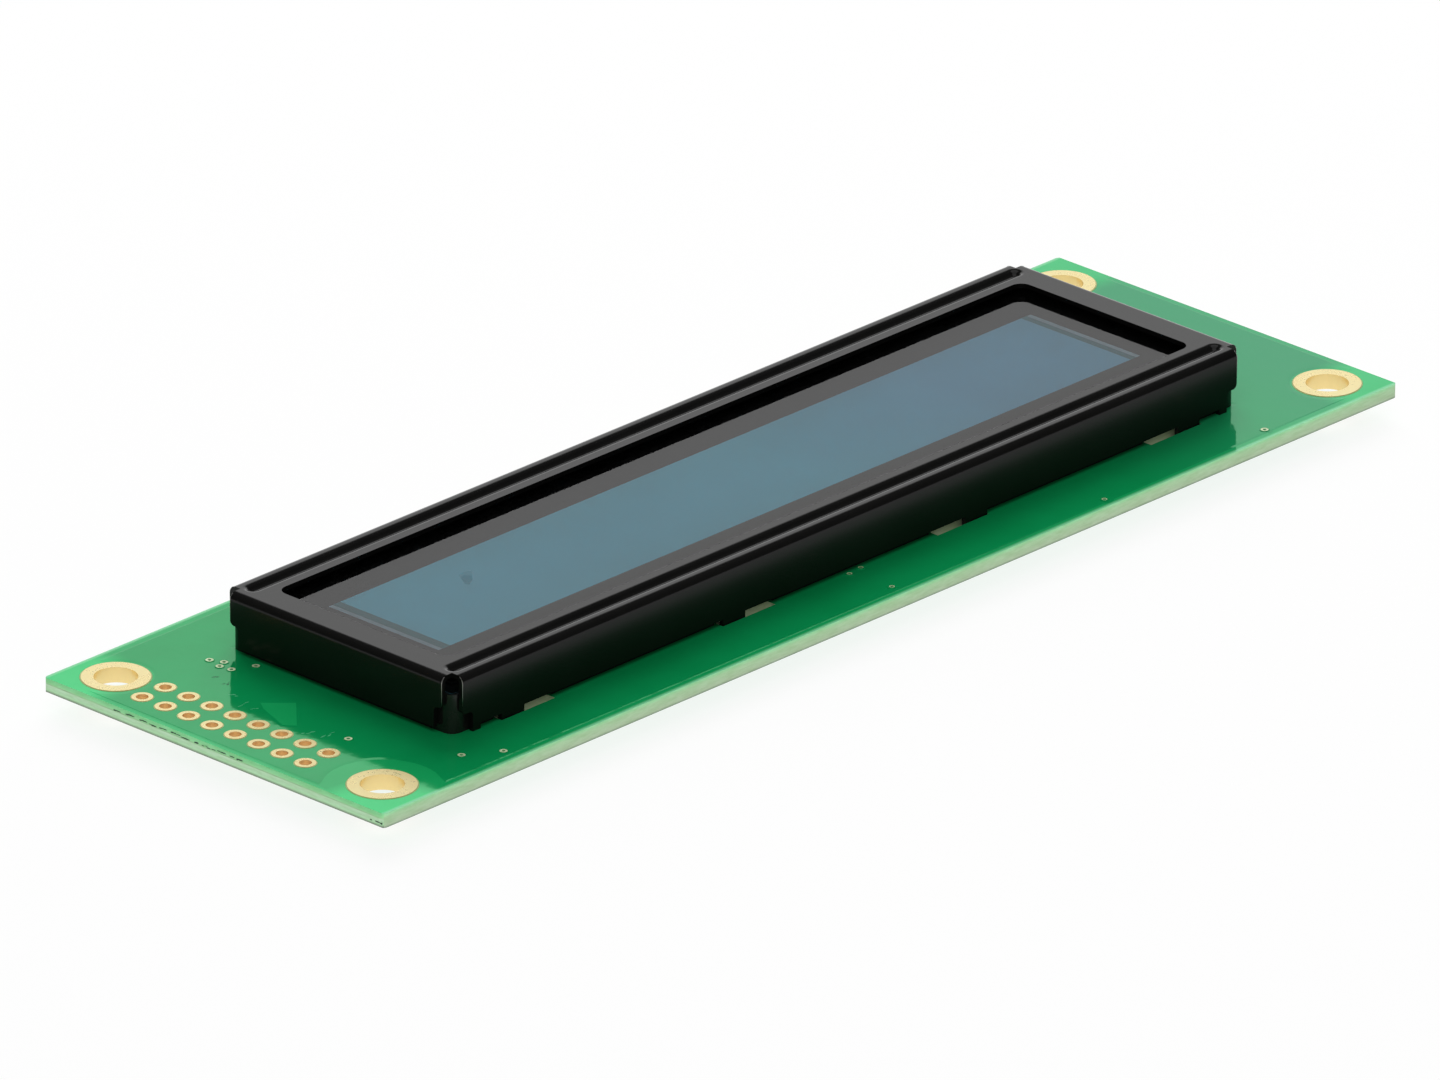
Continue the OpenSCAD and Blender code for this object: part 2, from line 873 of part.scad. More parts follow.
module solder_joints() {
    color("lightgray") {
        for (p = capacitor_places)
            on_back(p)
                chip_solder(capacitor_l, capacitor_w, capacitor_h);
        for (p = resistor_places)
            on_back(p)
                chip_solder(resistor_l, resistor_w, resistor_h);
    }
}

circuit_board();
mounting_hole_rings();
header_hole_rings();
via_rings();
contact_fingers();
panel_carrier();
contact_strips();
cap_glass();
desiccant_sheet();
edge_seal();
pixel_layer();
bus_bars();
front_glass();
polarizing_film();
bezel();
driver_chip();
driver_cover();
inductor_core();
inductor_winding();
inductor_terminals();
converter_chip();
converter_leads();
rectifier_body();
rectifier_leads();
capacitor_bodies();
capacitor_ends();
resistor_bodies();
resistor_ends();
solder_joints();
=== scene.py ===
import math
import random

import bmesh
import bpy
from mathutils import Matrix, Vector
from mathutils.geometry import delaunay_2d_cdt


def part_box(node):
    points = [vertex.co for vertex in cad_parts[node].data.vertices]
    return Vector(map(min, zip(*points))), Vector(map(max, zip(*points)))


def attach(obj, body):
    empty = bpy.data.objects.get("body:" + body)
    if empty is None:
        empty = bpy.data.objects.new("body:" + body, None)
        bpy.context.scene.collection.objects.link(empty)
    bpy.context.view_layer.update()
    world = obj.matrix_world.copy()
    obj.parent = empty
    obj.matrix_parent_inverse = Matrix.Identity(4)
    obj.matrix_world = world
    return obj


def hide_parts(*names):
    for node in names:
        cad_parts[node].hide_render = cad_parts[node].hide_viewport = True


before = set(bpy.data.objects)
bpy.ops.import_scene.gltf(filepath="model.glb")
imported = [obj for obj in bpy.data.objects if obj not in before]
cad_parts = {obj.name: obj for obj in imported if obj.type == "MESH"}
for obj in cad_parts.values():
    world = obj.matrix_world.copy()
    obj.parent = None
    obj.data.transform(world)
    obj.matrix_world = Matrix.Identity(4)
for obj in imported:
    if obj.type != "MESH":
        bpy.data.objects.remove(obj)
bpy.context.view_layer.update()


# ---- Circuit board ----
# Glass-fibre laminate, 1.2 mm thick, with a glossy green solder mask on both faces. The long edges are routed.
# The two ends were scored and snapped out of a larger panel, so they are torn fibre, with an olive line where
# the score stops.
mm = 0.001
board_low, board_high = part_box("circuit_board")
score_depth = 0.4 * mm


def add(tree, kind, inputs=None, **settings):
    """A new shader node of that kind, with its settings made and its inputs set or linked."""
    made = tree.nodes.new("ShaderNode" + kind)
    for name, value in settings.items():
        setattr(made, name, value)
    for name, value in (inputs or {}).items():
        if isinstance(value, bpy.types.NodeSocket):
            tree.links.new(value, made.inputs[name])
        else:
            made.inputs[name].default_value = value
    return made


def feed(tree, node, **sockets):
    """Links what changes over the surface to a node's sockets of those names."""
    for socket, value in sockets.items():
        tree.links.new(value, node.inputs[socket.replace("_", " ")])


def sum_of(tree, operation, *values):
    """The result of one step of arithmetic on values or sockets."""
    return add(tree, "Math", dict(enumerate(values)), operation=operation).outputs[0]


def blend(tree, share, low, high, **settings):
    """A colour between two colours."""
    return add(tree, "Mix", {0: share, 6: low, 7: high}, data_type="RGBA", **settings).outputs[2]


def part_way(tree, share, low, high):
    """A number between two numbers."""
    return add(tree, "Mix", {0: share, 2: low, 3: high}).outputs[0]


def spread(tree, value, start, end, low=0.0, high=1.0, **settings):
    """A number that runs from low to high while the value runs from start to end."""
    span = {"Value": value, "From Min": start, "From Max": end, "To Min": low, "To Max": high}
    return add(tree, "MapRange", span, **settings).outputs[0]


def fade(tree, value, start, end):
    """1 before the start, 0 past the end, and a smooth change between them."""
    return spread(tree, value, start, end, 1.0, 0.0, interpolation_type="SMOOTHSTEP")


def whereabouts(tree):
    """How far along, across and up the object a spot lies."""
    return add(tree, "SeparateXYZ", {0: add(tree, "TexCoord").outputs["Object"]}).outputs


def levelness(tree):
    """1 on a level face and 0 on an upright one."""
    steep = add(tree, "SeparateXYZ", {0: add(tree, "NewGeometry").outputs["True Normal"]}).outputs["Z"]
    return sum_of(tree, "ABSOLUTE", steep)


def finish(name, **sockets):
    """A new material, its node tree and its shader, with the shader's steady values set."""
    material = bpy.data.materials.new(name)
    material.use_nodes = True
    shader = material.node_tree.nodes["Principled BSDF"]
    for socket, value in sockets.items():
        shader.inputs[socket.replace("_", " ")].default_value = value
    return material, material.node_tree, shader


def dress(material, *nodes):
    """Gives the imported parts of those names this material."""
    for name in nodes:
        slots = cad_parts[name].data.materials
        slots.clear()
        slots.append(material)


def new_group(name, inputs, outputs):
    """An empty shader group. Its inputs have a kind and a first value, its outputs have a kind."""
    group = bpy.data.node_groups.new(name, "ShaderNodeTree")
    for socket, (kind, value) in inputs.items():
        made = group.interface.new_socket(socket, in_out="INPUT", socket_type="NodeSocket" + kind)
        made.default_value = value
    for socket, kind in outputs.items():
        group.interface.new_socket(socket, in_out="OUTPUT", socket_type="NodeSocket" + kind)
    return group, group.nodes.new("NodeGroupInput").outputs, group.nodes.new("NodeGroupOutput")


def uneven_finish():
    """The cloudy change of colour and polish that every made surface has, with a fine grain for its relief."""
    group, given, put = new_group("Uneven finish", {
        "Low colour": ("Color", (0, 0, 0, 1)), "High colour": ("Color", (1, 1, 1, 1)),
        "Low roughness": ("Float", 0.3), "High roughness": ("Float", 0.5), "Stretch": ("Vector", (1, 1, 1)),
        "Cloud size": ("Float", 4 * mm), "Grain size": ("Float", 0.2 * mm),
    }, {"Colour": "Color", "Roughness": "Float", "Height": "Float", "Cloud": "Float"})
    place = add(group, "TexCoord").outputs["Object"]
    place = add(group, "VectorMath", {0: place, 1: given["Stretch"]}, operation="MULTIPLY").outputs[0]

    def lumps(size, detail, roughness):
        """Noise with lumps of about that size."""
        scale = sum_of(group, "DIVIDE", 1.0, size)
        made = {"Vector": place, "Scale": scale, "Detail": detail, "Roughness": roughness}
        return add(group, "TexNoise", made).outputs["Fac"]

    cloud = spread(group, lumps(given["Cloud size"], detail=5.0, roughness=0.55), 0.3, 0.7)
    grain = lumps(given["Grain size"], detail=2.0, roughness=0.5)
    mixed = sum_of(group, "MULTIPLY", cloud, grain)
    feed(group, put, Colour=blend(group, cloud, given["Low colour"], given["High colour"]),
         Roughness=spread(group, mixed, 0.0, 0.7, given["Low roughness"], given["High roughness"]),
         Height=grain, Cloud=cloud)
    return group


uneven = uneven_finish()


def vary(tree, low, high, polish, cloud, grain, stretch=(1, 1, 1)):
    """The uneven finish placed in a material: its two colours, its range of roughness and its sizes in mm."""
    return add(tree, "Group", {
        "Low colour": (*low, 1), "High colour": (*high, 1), "Low roughness": polish[0],
        "High roughness": polish[1], "Stretch": stretch, "Cloud size": cloud * mm, "Grain size": grain * mm,
    }, node_tree=uneven).outputs


def relief(tree, shader, height, depth):
    """Feeds a height to the shader as bump, with its depth in mm."""
    bump = add(tree, "Bump", {"Height": height, "Distance": depth * mm, "Strength": 1.0})
    feed(tree, shader, Normal=bump.outputs["Normal"])


mask_coat = {"polish": (0.05, 0.10), "cloud": 8, "grain": 1.4}
mask_ior, copper_shine = 1.36, 0.28
# The paler of these greens is a painted highlight along the board's long edges.
right_end_green, rim_highlight_green = (0.022, 0.35, 0.145, 1), (0.30, 0.78, 0.44, 1)
right_fade_from, right_fade_to = 28 * mm, 54 * mm  # the green over copper turns darker and greyer towards the right end
corner_clear, corner_faint, corner_wander = 4.8 * mm, 8.0 * mm, 0.8 * mm
right_corners, right_from = 0.7, 20 * mm  # the right corners are less bare
# Along the long edges the mask is bare of copper, and in its last 0.4 mm it is painted pale green as a painted
# highlight of the edge's rounding.
bare_and_highlit_rim_start, bare_and_highlit_rim_stop, bare_and_highlit_rim_share = board_high.y - 0.4 * mm, board_high.y - 0.05 * mm, 0.9
end_rim, end_share = 0.7 * mm, 0.6


def green_mask():
    """The glossy mask: deep green over copper, which shines through, and bright over bare laminate."""
    group, given, put = new_group("Green mask", {"Bare": ("Float", 0.0)}, {
        "Colour": "Color", "Roughness": "Float", "Shine": "Float", "Height": "Float"})
    on_copper = vary(group, (0.003, 0.365, 0.102), (0.005, 0.415, 0.122), **mask_coat)
    on_bare = vary(group, (0.022, 0.66, 0.19), (0.045, 0.74, 0.235), **mask_coat)
    place = add(group, "TexCoord").outputs["Object"]
    folded = add(group, "VectorMath", {0: place}, operation="ABSOLUTE").outputs[0]
    flat = add(group, "VectorMath", {0: folded, 1: (1, 1, 0)}, operation="MULTIPLY").outputs[0]
    tip = (board_high.x, board_high.y, 0)
    away = add(group, "VectorMath", {0: flat, 1: tip}, operation="DISTANCE").outputs["Value"]
    away = sum_of(group, "ADD", away, sum_of(group, "MULTIPLY", on_copper["Cloud"], corner_wander))
    right = add(group, "SeparateXYZ", {0: place}).outputs["X"]
    corner = sum_of(group, "MULTIPLY", fade(group, away, corner_clear, corner_faint),
                    spread(group, right, 0.0, right_from, 1.0, right_corners))
    off_middle = add(group, "SeparateXYZ", {0: folded}).outputs["Y"]
    side = spread(group, off_middle, bare_and_highlit_rim_start, bare_and_highlit_rim_stop, 0.0, bare_and_highlit_rim_share)
    end = spread(group, right, board_low.x + end_rim, board_low.x, 0.0, end_share)
    bare = sum_of(group, "MAXIMUM", corner, given["Bare"])
    bare = sum_of(group, "MAXIMUM", bare, sum_of(group, "MAXIMUM", side, end))
    copper = blend(group, spread(group, right, right_fade_from, right_fade_to), on_copper["Colour"], right_end_green)
    colour = blend(group, bare, copper, on_bare["Colour"])
    feed(group, put, Colour=blend(group, side, colour, rim_highlight_green), Roughness=on_copper["Roughness"],
         Shine=sum_of(group, "MULTIPLY", sum_of(group, "SUBTRACT", 1.0, bare), copper_shine),
         Height=on_copper["Height"])
    return group


mask_group = green_mask()


def masked(tree, bare):
    """The green mask placed in a material, with the least share of bare laminate that shows through it."""
    return add(tree, "Group", {"Bare": bare}, node_tree=mask_group).outputs


edge_skin, level_face = 0.2 * mm, 0.6
# Inside the slots the laminate is painted darker and more tan than on the outer edges, as painted shade.
shaded_slot_wall, score_olive, score_line = (0.32, 0.38, 0.24, 1), (0.36, 0.62, 0.32, 1), (0.02 * mm, 0.06 * mm)
board_finish, tree, shader = finish("Green mask on bare laminate", IOR=mask_ior)
mask = masked(tree, bare=0.22)
fibre = vary(tree, low=(0.78, 0.86, 0.74), high=(1.0, 1.0, 1.0), polish=(0.5, 0.8), cloud=0.45, grain=0.15,
             stretch=(0.4, 0.4, 2.0))
place = whereabouts(tree)
depth = spread(tree, place["Z"], board_low.z, board_high.z)


def through(colours):
    """Colours at steps through the board's thickness, from its back to its front."""
    made = add(tree, "ValToRGB", {"Fac": depth})
    stops = made.color_ramp.elements
    stops.remove(stops[-1])
    for step, colour in colours.items():
        stop = stops[0] if step == 0 else stops.new(step)
        stop.color = (*colour, 1)
    return made.outputs["Color"]


# The darkest steps at the back of both edges are painted shade along the board's lower edge. Above them is the
# laminate's and the mask's own colour.
routed = through({0.0: (0.22, 0.30, 0.21), 0.08: (0.50, 0.65, 0.46), 0.16: (0.62, 0.80, 0.55),
                  0.75: (0.60, 0.92, 0.56), 0.90: (0.50, 0.98, 0.55), 1.0: (0.46, 1.0, 0.55)})
snapped = through({0.0: (0.15, 0.20, 0.14), 0.10: (0.34, 0.48, 0.32), 0.25: (0.58, 0.96, 0.58),
                   0.55: (0.70, 1.0, 0.70), 0.64: (0.66, 1.0, 0.66), 0.72: (0.48, 1.0, 0.52),
                   1.0: (0.32, 0.94, 0.44)})
end = sum_of(tree, "GREATER_THAN", sum_of(tree, "ABSOLUTE", place["X"]), board_high.x - edge_skin)
inner = sum_of(tree, "LESS_THAN", sum_of(tree, "ABSOLUTE", place["Y"]), board_high.y - edge_skin)
layers = blend(tree, end, blend(tree, inner, routed, shaded_slot_wall), snapped)
edge = blend(tree, 1.0, layers, fibre["Colour"], blend_type="MULTIPLY")
off_score = sum_of(tree, "ABSOLUTE", sum_of(tree, "SUBTRACT", place["Z"], board_high.z - score_depth))
line = spread(tree, off_score, *score_line, 1.0, 0.0)
line = sum_of(tree, "MULTIPLY", sum_of(tree, "MULTIPLY", line, end), fibre["Cloud"])
edge = blend(tree, line, edge, score_olive)
face = sum_of(tree, "GREATER_THAN", levelness(tree), level_face)
feed(tree, shader, Base_Color=blend(tree, face, edge, mask["Colour"]),
     Roughness=part_way(tree, face, fibre["Roughness"], mask["Roughness"]),
     Metallic=sum_of(tree, "MULTIPLY", mask["Shine"], face))
relief(tree, shader, mask["Height"], depth=0.008)
dress(board_finish, "circuit_board")


# ---- Copper under the mask, front ----
# A ground plane etched from the copper foil, seen as duller green through the mask. It stops short of the edges,
# leaves room round the screw holes, the lands and the bezel's slots, and stands a foil's thickness above the
# bare laminate.
foil = 0.014 * mm
mount_x, mount_y = 54, 14.5
header_x = (-55.30, -52.76)
header_middle, header_pitch, header_rows = 1.41, 2.54, 8
header_y = [header_middle + header_pitch * (row - (header_rows - 1) / 2) for row in range(header_rows)]
header_places = [(x, y) for x in header_x for y in header_y]
via_places = [(-46.7, 11.5), (-46.2, 10.4), (-47.0, 10.1), (-46.8, 9.0), (-45.0, 8.1), (-49.8, -6.7),
              (-45.9, -15.1), (-43.1, -16.9), (0.0, -12.9), (1.5, -12.7), (0.5, -17.0), (24.6, -17.4),
              (43.6, -17.2)]
header_land, via_land = 0.85, 0.35
header_clear, via_clear = 0.12, 0.06


def new_piece(name, mesh, material, slot, *replaced, smooth=False):
    """Turns a finished bmesh into a piece of the object that rides on the one body."""
    data = bpy.data.meshes.new(name)
    bmesh.ops.recalc_face_normals(mesh, faces=mesh.faces)
    for made in mesh.faces:
        made.smooth = smooth
    mesh.to_mesh(data)
    mesh.free()
    data.materials.append(material)
    piece = bpy.data.objects.new(name, data)
    bpy.context.scene.collection.objects.link(piece)
    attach(piece, "root")
    if replaced:
        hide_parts(*replaced)


def arc(x, y, radius, start, stop, steps):
    """Points in mm on part of a circle, with angles in degrees."""
    turns = [math.radians(start + (stop - start) * i / steps) for i in range(steps + 1)]
    return [(x + radius * math.cos(a), y + radius * math.sin(a)) for a in turns]


def circle(x, y, radius, steps):
    """Points in mm on a whole circle."""
    return arc(x, y, radius, 0, 360 - 360 / steps, steps - 1)


def inside(spot, outlines):
    """Whether a spot lies in the sheet: within an odd number of the closed outlines."""
    crossed = 0
    for outline in outlines:
        for (ax, ay), (bx, by) in zip(outline, outline[1:] + outline[:1]):
            if (ay > spot.y) != (by > spot.y) and spot.x < ax + (bx - ax) * (spot.y - ay) / (by - ay):
                crossed += 1
    return crossed % 2 == 1


def foil_sheet(mesh, outlines, level, rise, slope):
    """A thin sheet with holes, from closed outlines in mm. Its edges slope down to what it lies on."""
    points, edges = [], []
    for outline in outlines:
        first = len(points)
        points += [Vector(p) for p in outline]
        edges += [(first + i, first + (i + 1) % len(outline)) for i in range(len(outline))]
    spots, _, faces, *_ = delaunay_2d_cdt(points, edges, [], 0, 1e-6)
    faces = [loop for loop in faces if inside(sum((spots[i] for i in loop), Vector((0, 0))) / 3, outlines)]
    used = sorted({i for loop in faces for i in loop})
    top = {i: mesh.verts.new((spots[i].x * mm, spots[i].y * mm, level + rise)) for i in used}
    made = [mesh.faces.new([top[i] for i in loop]) for loop in faces]
    rim = [e for f in made for e in f.edges if len(e.link_faces) == 1]
    lean = {}
    for e in rim:
        a, b = (v.co for v in e.verts)
        out = Vector((b.y - a.y, a.x - b.x, 0)).normalized()
        if (e.link_faces[0].calc_center_median() - a).dot(out) > 0:
            out.negate()
        for v in e.verts:
            lean[v] = lean.get(v, Vector()) + out
    foot = {}
    for v, out in lean.items():
        out = out.normalized()
        foot[v] = mesh.verts.new((v.co.x + out.x * slope * mm, v.co.y + out.y * slope * mm, level))
    for e in rim:
        a, b = e.verts
        mesh.faces.new((a, b, foot[b], foot[a]))


room = 0.05  # left free round what stands on the board
slot_reach, foot_reach = 13.0, 12.75
side_steps = [(-42.2, -41.15, foot_reach), (-39.25, -32.85, slot_reach), (-14.45, -8.05, slot_reach),
              (10.05, 16.45, slot_reach), (34.85, 41.25, slot_reach), (43.15, 44.2, foot_reach)]
carrier_low, carrier_high = (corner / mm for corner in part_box("panel_carrier"))
carrier_left, carrier_right, carrier_side = carrier_low.x - room, carrier_high.x + room, carrier_high.y + room
far_walk = [spot for low, high, reach in side_steps
            for spot in ((low, carrier_side), (low, reach), (high, reach), (high, carrier_side))]
near_walk = [(x, -y) for x, y in far_walk]
opening = [(carrier_left, -carrier_side), *near_walk, (carrier_right, -carrier_side),
           (carrier_right, carrier_side), *far_walk[::-1], (carrier_left, carrier_side)]
bare_patch = [(-49.7, 3.3), (-47.4, 1.0), (-50.75, -2.4), (-51.8, -1.3), (-50.6, 2.2)]
plane_side, plane_end = 17.55, 57.3
near_gap, far_gap, plane_slope = 5.0, 3.36, 0.35


def pull_back(radius, x_side, y_side, flip):
    """The plane's round edge near a screw hole, between the board's end and its side."""
    shallow = math.degrees(math.asin((plane_side - mount_y) / radius))
    steep = math.degrees(math.acos((plane_end - mount_x) / radius))
    walk = arc(0, 0, radius, -steep, -180 - shallow, steps=24)
    return [((x + mount_x) * x_side, (y + mount_y) * y_side) for x, y in (walk[::-1] if flip else walk)]


plane_outline = (pull_back(far_gap, 1, -1, True) + pull_back(far_gap, 1, 1, False)
                 + pull_back(far_gap, -1, 1, True) + pull_back(near_gap, -1, -1, False))
clearances = [circle(x, y, header_land + header_clear, steps=24) for x, y in header_places]
clearances += [circle(x, y, via_land + via_clear, steps=16) for x, y in via_places]
mesh = bmesh.new()
foil_sheet(mesh, [plane_outline, opening, bare_patch] + clearances, board_high.z, foil, plane_slope)
copper_finish, tree, shader = finish("Green mask on copper", IOR=mask_ior)
mask = masked(tree, bare=0.0)
feed(tree, shader, Base_Color=mask["Colour"], Roughness=mask["Roughness"], Metallic=mask["Shine"])
relief(tree, shader, mask["Height"], depth=0.010)
new_piece("ground_plane", mesh, copper_finish, "solder_mask")


# ---- Copper under the mask, back ----
# Tracks etched on the back: from the header to the driver, from the driver out to the vias beside the panel's
# contacts, and wider ones between the supply parts. The mask runs over them and closes the small vias at their
# ends.
back = board_low.z
track, power, flank = 0.28, 0.9, 0.05  # widths of the two kinds of track and of their flanks
drop_x, drop_edge = 9.0, 7.6
via_row, via_step, closed_land = 11.2, 2.2, 0.38
right_via, left_via = 19.6, 5  # the first via on each side of the driver
climb_first, climb_step = -47.7, 1.2  # where the header's tracks turn up to their lanes
outer_lane, lane_step = 9.9, 0.5


def ridge(mesh, route, width):
    """A track along a route in mm: flat on top, with sloping flanks and mitred corners."""
    route = [Vector(p) for p in route]
    ahead = [(b - a).normalized() for a, b in zip(route, route[1:])]
    half = width / 2
    before = None
    for i, spot in enumerate(route):
        into, out = ahead[max(i - 1, 0)], ahead[min(i, len(ahead) - 1)]
        side = Vector((-into.y - out.y, into.x + out.x)).normalized()
        side /= max(0.5, side.dot(Vector((-out.y, out.x))))
        row = []
        for across, height in ((half + flank, 0), (half, foil), (-half, foil), (-half - flank, 0)):
            p = spot + side * across
            row.append(mesh.verts.new((p.x * mm, p.y * mm, back - height)))
        if before:
            for j in range(3):
                mesh.faces.new((before[j], before[j + 1], row[j + 1], row[j]))
        else:
            mesh.faces.new(row)
        before = row
    mesh.faces.new(before[::-1])


def skin(mesh, rows):
    """Faces between each closed row of points and the next."""
    for lower, upper in zip(rows, rows[1:]):
        for i in range(len(lower)):
            mesh.faces.new((lower[i - 1], lower[i], upper[i], upper[i - 1]))


def closed_via(mesh, x, y):
    """A small via that the mask has closed: a low round hump with a dimple."""
    rings = []
    for share, height in ((1.0, 0.0), (0.86, 0.8), (0.62, 1.0), (0.40, 0.95), (0.22, 0.55)):
        rings.append([mesh.verts.new((px * mm, py * mm, back - foil * height))
                      for px, py in circle(x, y, closed_land * share, steps=12)])
    skin(mesh, rings)
    mesh.faces.new(rings[-1])


def under_drop(turn):
    """A spot just under the rim of the driver's resin drop, at an angle in degrees."""
    return drop_x + drop_edge * math.cos(math.radians(turn)), drop_edge * math.sin(math.radians(turn))


mesh = bmesh.new()
land_end = header_x[1] + header_land
for k, lane in ((3, 8.7), (4, 9.3), (5, 9.9)):
    y, climb_x, turn_x = header_y[k], climb_first - climb_step * (k - 3), 0.75 + 0.25 * k
    ridge(mesh, [(land_end, y), (climb_x + y, y), (climb_x + lane, lane), (turn_x, lane),
                 under_drop(142 - 8 * k)], track)
for k, turn_x, via in ((6, -45.4, via_places[4]), (7, -47.2, via_places[2])):
    ridge(mesh, [(land_end, header_y[k]), (turn_x, header_y[k]), via], track)
for j in range(9):
    lane, via_x, leave = outer_lane - lane_step * j, right_via + via_step * j, under_drop(62 - 5 * j)
    route = [leave, (leave[0] + lane - leave[1], lane), (via_x - 1, lane), (via_x, lane + 1), (via_x, via_row)]
    for side in (-1, 1):
        ridge(mesh, [(x, side * y) for x, y in route], track)
        closed_via(mesh, via_x, side * via_row)
for j in range(5):
    via_x = left_via - via_step * j
    ridge(mesh, [under_drop(-118 - 6 * j), (via_x, -8.3 + 0.25 * j), (via_x, -via_row)], track)
    closed_via(mesh, via_x, -via_row)
for route in (
    [(-52.0, header_y[0]), (-44.0, header_y[0]), (-40.5, -5.2), (-37.0, -5.1)],
    [(-52.0, header_y[1]), (-44.5, header_y[1]), (-41.4, -1.9), (-37.0, -1.9)],
    [(-37.0, 1.9), (-34.0, 1.9), (-32.0, 3.5)],
    [(-28.2, 3.5), (-26.4, 3.5), (-24.4, 2.2)],
    [(-30.0, 1.4), (-30.0, -1.2)],
    [(-30.0, -5.8), (-26.5, -5.8), (-23.0, -5.1)],
    [(-23.0, -1.9), (-19.5, -3.0)],
    [(-16.0, 5.1), (-16.0, 6.6), (-21.0, 6.6), (-22.2, 5.2)],
):
    ridge(mesh, route, power)
new_piece("back_tracks", mesh, copper_finish, "solder_mask")


# ---- Mask openings ----
# The mask leaves a narrow ring of bare, yellowish laminate round each land of the mounting and header holes,
# because its openings are printed a little larger than the lands.
mount_places = [(x, y) for x in (-mount_x, mount_x) for y in (-mount_y, mount_y)]
mount_land = 2.75
bare_width, bare_lap, bare_rise = 0.10, 0.03, 0.02 * mm
mask_slope = 0.02


def even_finish(name, low, high, polish, cloud, grain, depth, **sockets):
    """A whole material of one substance: the uneven finish with its relief, and its shader's steady values."""
    material, tree, shader = finish(name, **sockets)
    varied = vary(tree, low, high, polish, cloud, grain)
    feed(tree, shader, Base_Color=varied["Colour"], Roughness=varied["Roughness"])
    relief(tree, shader, varied["Height"], depth)
    return material


def ring(mesh, x, y, inner, outer, level, rise, steps):
    """A flat ring with a sloping outer edge, its place and radii in mm."""
    rows = []
    for radius, height in ((inner, 0.0), (inner, rise), (outer - mask_slope, rise), (outer, 0.0)):
        rows.append([mesh.verts.new((px * mm, py * mm, level + height)) for px, py in circle(x, y, radius, steps)])
    skin(mesh, rows + rows[:1])


opening_finish = even_finish("Bare laminate ring", low=(0.30, 0.40, 0.14), high=(0.42, 0.50, 0.20),
                             polish=(0.4, 0.6), cloud=0.5, grain=0.08, depth=0.004)
mesh = bmesh.new()
for level, rise in ((board_high.z, bare_rise), (board_low.z, -bare_rise)):
    for places, land, steps in ((mount_places, mount_land, 64), (header_places, header_land, 32)):
        for x, y in places:
            ring(mesh, x, y, land - bare_lap, land + bare_width, level, rise, steps)
new_piece("mask_openings", mesh, opening_finish, "solder_mask")


# ---- Mask round the vias ----
# Over the vias the mask's openings are smaller than the lands, so the mask laps the lands' rims and leaves only
# their middles open, more so on the vias near the board's ends.
lap_rise = 0.056 * mm
end_vias, end_opening, middle_opening = 40, 0.32, 0.22
mesh = bmesh.new()
for level, rise in ((board_high.z, lap_rise), (board_low.z, -lap_rise)):
    for x, y in via_places:
        open_radius = end_opening if abs(x) > end_vias else middle_opening
        ring(mesh, x, y, open_radius, via_land + via_clear, level, rise, steps=24)
new_piece("via_mask", mesh, copper_finish, "solder_mask")


# ---- Gold lands, plated holes and contact fingers ----
# Copper lands and hole barrels, left bare by the mask and plated with nickel and a thin satin skin of gold. The
# barrels of the small header holes are redder, and the vias are only thinly plated. The contact fingers lie
# under the panel.
barrel_polish = 0.25


def plated(name, low, high, barrel, polish, metal):
    """Gold on the lands, with a colour of its own for the barrel inside the hole."""
    material, tree, shader = finish(name, Metallic=metal)
    land = vary(tree, low, high, polish, cloud=1.2, grain=0.10)
    flat = levelness(tree)
    feed(tree, shader, Base_Color=blend(tree, flat, (*barrel, 1), land["Colour"]),
         Roughness=part_way(tree, flat, barrel_polish, land["Roughness"]))
    relief(tree, shader, land["Height"], depth=0.0003)
    return material


gold = {"low": (0.98, 0.80, 0.37), "high": (1.0, 0.87, 0.44), "polish": (0.25, 0.35), "metal": 0.5}
dress(plated("Satin gold", barrel=(1.0, 0.79, 0.36), **gold), "mounting_hole_rings", "contact_fingers")
dress(plated("Satin gold, red barrels", barrel=(0.96, 0.72, 0.40), **gold), "header_hole_rings")
dress(plated("Pale via plating", low=(0.58, 0.72, 0.40), high=(0.76, 0.88, 0.58), barrel=(0.46, 0.56, 0.30),
             polish=(0.3, 0.4), metal=0.2), "via_rings")


# ---- Panel carrier ----
# Black moulded plastic frame that lies on the board inside the bezel and carries the glass panel on its rim. It
# shows in the bezel's open corners and under its walls.
dress(even_finish("Black moulded plastic", low=(0.006, 0.006, 0.006), high=(0.013, 0.013, 0.012),
                  polish=(0.18, 0.28), cloud=3, grain=0.1, depth=0.004, IOR=1.4), "panel_carrier")


# ---- Contact strips ----
# Two strips of layered silicone rubber, carbon-black layers between clear ones, squeezed between the board's
# fingers and the panel's leads.
layer_scale, layer_sway = 1600.0, 0.6
clear_layer = (0.018, 0.016, 0.014, 1)
strip_finish, tree, shader = finish("Layered silicone", IOR=1.1)
place = add(tree, "TexCoord").outputs["Object"]
layers = add(tree, "TexWave", {"Vector": place, "Scale": layer_scale, "Distortion": layer_sway},
             bands_direction="X").outputs["Fac"]
body = vary(tree, low=(0.008, 0.007, 0.006), high=(0.014, 0.012, 0.011), polish=(0.5, 0.7), cloud=1.0, grain=0.1)
feed(tree, shader, Base_Color=blend(tree, layers, body["Colour"], clear_layer), Roughness=body["Roughness"])
relief(tree, shader, layers, depth=0.01)
dress(strip_finish, "contact_strips")


